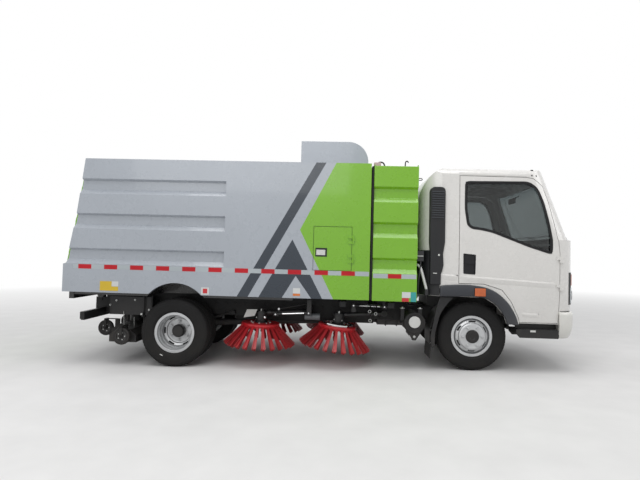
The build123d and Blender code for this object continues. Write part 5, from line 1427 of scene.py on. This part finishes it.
# A lifting ram works each broom arm, and brackets, hydraulic pipes and a filter hang from both rails.
# All is black steel with bright rods, nuts and clips; a guide rod and a splash plate serve each rear arm.
filter_grey = painted("filter_grey", (0.17, 0.18, 0.19, 1), 0.4, 0.1, dust=0.2)
rams = [                         # name, pivot's x, y, shelf's y and z, and the ends as x from the pivot and z
    ("rear", 1.495, 0.700, 0.575, 0.530, (-0.374, 0.549), (0.013, 0.573)),
    ("front", 2.405, 0.620, 0.560, 0.594, (-0.373, 0.670), (-0.010, 0.664)),
]
for which, pivot, out, shelf_y, shelf_z, rear_end, front_end in rams:
    for name, side in sides:
        y = side * out
        start, end = (Vector((pivot + ahead_by, y, z)) for ahead_by, z in (rear_end, front_end))
        middle = start + (end - start) * 0.86
        ram, bright = bmesh.new(), bmesh.new()
        pipe(bright, [start + (end - start) * 0.18, middle], 0.0105, 16, 2)
        pipe(ram, [middle, end], 0.019, 16, 2)
        pipe(ram, [start, start + (end - start) * 0.20], 0.016, 16, 2)
        for spot in (start, end):
            disc(ram, y - side * 0.022, y + side * 0.022, 0.022, (spot.x, 0, spot.z), count=20)
            hex_head(bright, 0.011, y + side * 0.022, y + side * 0.034, (spot.x, 0, spot.z))
        for edge in (-0.028, 0.022):
            prism(ram, [(start.x - 0.024, shelf_z + 0.006), (start.x + 0.030, shelf_z + 0.006),
                        (start.x + 0.016, start.z + 0.020), (start.x - 0.016, start.z + 0.020)],
                  side * (out + edge), side * (out + edge + 0.006))
        blocks(ram, side, (start.x - 0.024, start.x + 0.030, shelf_y, out + 0.028, shelf_z, shelf_z + 0.008))
        parts = [(ram, arm_steel), (bright, chrome)]
        if which == "rear":
            pipe(ram, [(1.152, side * 0.655, 0.606), (1.515, side * 0.655, 0.683)], 0.010, order=2)
            blocks(ram, side, (1.140, 1.166, 0.575, 0.665, 0.575, 0.606))
            for x, z in ((1.152, 0.606), (1.515, 0.683)):
                hex_head(bright, 0.010, side * 0.664, side * 0.676, (x, 0, z))
            plate = bmesh.new()
            prism(plate, [(0.781, 0.594), (0.903, 0.598), (0.871, 0.520), (0.742, 0.498)],
                  side * 0.696, side * 0.700)
            blocks(ram, side, (0.862, 0.886, 0.672, 0.6955, 0.540, 0.548))
            pipe(ram, [(0.990, side * 0.686, 0.500), (0.962, side * 0.658, 0.500)], 0.010, order=2)
            turned(bright, [(0.487, 0), (0.487, 0.012), (0.500, 0.016), (0.512, 0.016), (0.522, 0.010),
                            (0.522, 0)], (0.992, side * 0.688, 0), "z", 16)
            parts.append((plate, pale_cover))
        piece(f"ram_{which}_{name}", f"broom_arm_{which}_{name}", "arm_steel", *parts, width=0.001)
for name, side in sides:
    shape, bright = bmesh.new(), bmesh.new()
    for x, out, z in ((1.508, 0.700, 0.573), (2.395, 0.620, 0.664)):
        for edge in (-0.034, 0.026):
            blocks(shape, side, (x - 0.020, x + 0.030, out + edge, out + edge + 0.006, z - 0.024, 0.735))
        blocks(shape, side, (x - 0.020, x + 0.030, rail_face, out + 0.032, 0.728, 0.736))
    canister = bmesh.new()
    turned(canister, [(1.454, 0), (1.454, 0.030), (1.460, 0.0375), (1.600, 0.0395), (1.600, 0.0415),
                      (1.637, 0.0415), (1.637, 0)],
           (0, side * 0.602, 0.520), "x", 32)
    blocks(shape, side, (1.585, 1.615, rail_face, 0.575, 0.506, 0.534))
    for x, z in ((2.218, 0.612), (2.289, 0.587), (2.226, 0.506)):
        collar(bright, -0.003, 0.003, 0.013, 0.019, (x, side * 0.700, z), count=24)
        pipe(shape, [(x, side * 0.700, z + 0.024), (x + 0.01, side * 0.690, z + 0.05),
                     (x + 0.02, side * 0.60, 0.690)], 0.006)
    blocks(shape, side, (2.215, 2.320, rail_face, 0.710, 0.686, 0.694),
           (-0.930, -0.420, 0.552, 0.560, 0.470, 0.690), (-0.620, -0.560, rail_face, 0.552, 0.640, 0.648),
           (-0.870, -0.810, rail_face, 0.552, 0.640, 0.648))
    for x in (-0.500, -0.400):
        pipe(shape, [(x, side * 0.585, 0.700), (x + 0.010, side * 0.590, 0.560),
                     (x - 0.012, side * 0.585, 0.450)], 0.009)
    for x, z in ((-0.444, 0.535), (-0.925, 0.583), (-0.620, 0.652), (-0.850, 0.640)):
        hex_head(bright, 0.010, side * 0.560, side * 0.572, (x, 0, z))
    blocks(bright, side, (-0.538, -0.510, 0.560, 0.586, 0.472, 0.496))
    piece(f"under_gear_{name}", "chassis", "arm_steel", (shape, arm_steel), (bright, zinc),
          (canister, filter_grey), width=0.001)


# A flat steel tank for the hydraulic oil hangs between the rails on three cross straps. It is welded
# and painted black.
belly = bmesh.new()
blocks(belly, 1, (0.560, 2.300, -0.220, 0.220, 0.412, 0.500))
for x in (0.62, 1.40, 2.20):
    blocks(belly, 1, (x, x + 0.050, -0.372, 0.372, 0.484, 0.492))
piece("hydraulic_tank", "chassis", "chassis_black", (belly, chassis_black), width=0.012, segments=3)


# The rear lamps are screwed to the underrun bar: a black plastic box on each side with two red
# lenses and an amber one.
lamp_case, lamp_red, lamp_amber = (bmesh.new() for k in range(3))
for name, side in sides:
    blocks(lamp_case, side, (-1.125, -1.1002, 0.600, 0.880, 0.445, 0.530))
    for lens, y0, y1 in ((lamp_red, 0.608, 0.695), (lamp_red, 0.700, 0.780), (lamp_amber, 0.785, 0.872)):
        blocks(lens, side, (-1.129, -1.1255, y0, y1, 0.452, 0.523))
piece("rear_lamps", "chassis", "chassis_black", (lamp_case, hub_black), (lamp_red, tape_red),
      (lamp_amber, amber), width=0.002)


# Between the tank and the cab stand a bright filler pipe and a small black valve box with its hose.
# The pipe is bent steel tube, pushed into a rubber socket at its foot.
shape, pale = bmesh.new(), bmesh.new()
pipe(pale, [(2.722, -0.900, 1.176), (2.752, -0.925, 1.172), (2.790, -0.930, 1.040), (2.829, -0.930, 0.900)],
     0.016)
disc(shape, 0.840, 0.905, 0.026, (2.826, -0.930, 0), "z", 24)
blocks(shape, 1, (2.7085, 2.790, -0.945, -0.860, 1.215, 1.330))
pipe(shape, [(2.760, -0.930, 1.215), (2.750, -0.935, 1.10), (2.735, -0.930, 0.98), (2.740, -0.900, 0.860)],
     0.010)
blocks(pale, 1, (2.716, 2.785, -0.9475, -0.9452, 1.268, 1.276))
piece("filler_pipe", "chassis", "tank_green", (shape, arm_steel), (pale, pale_cover), width=0.001)
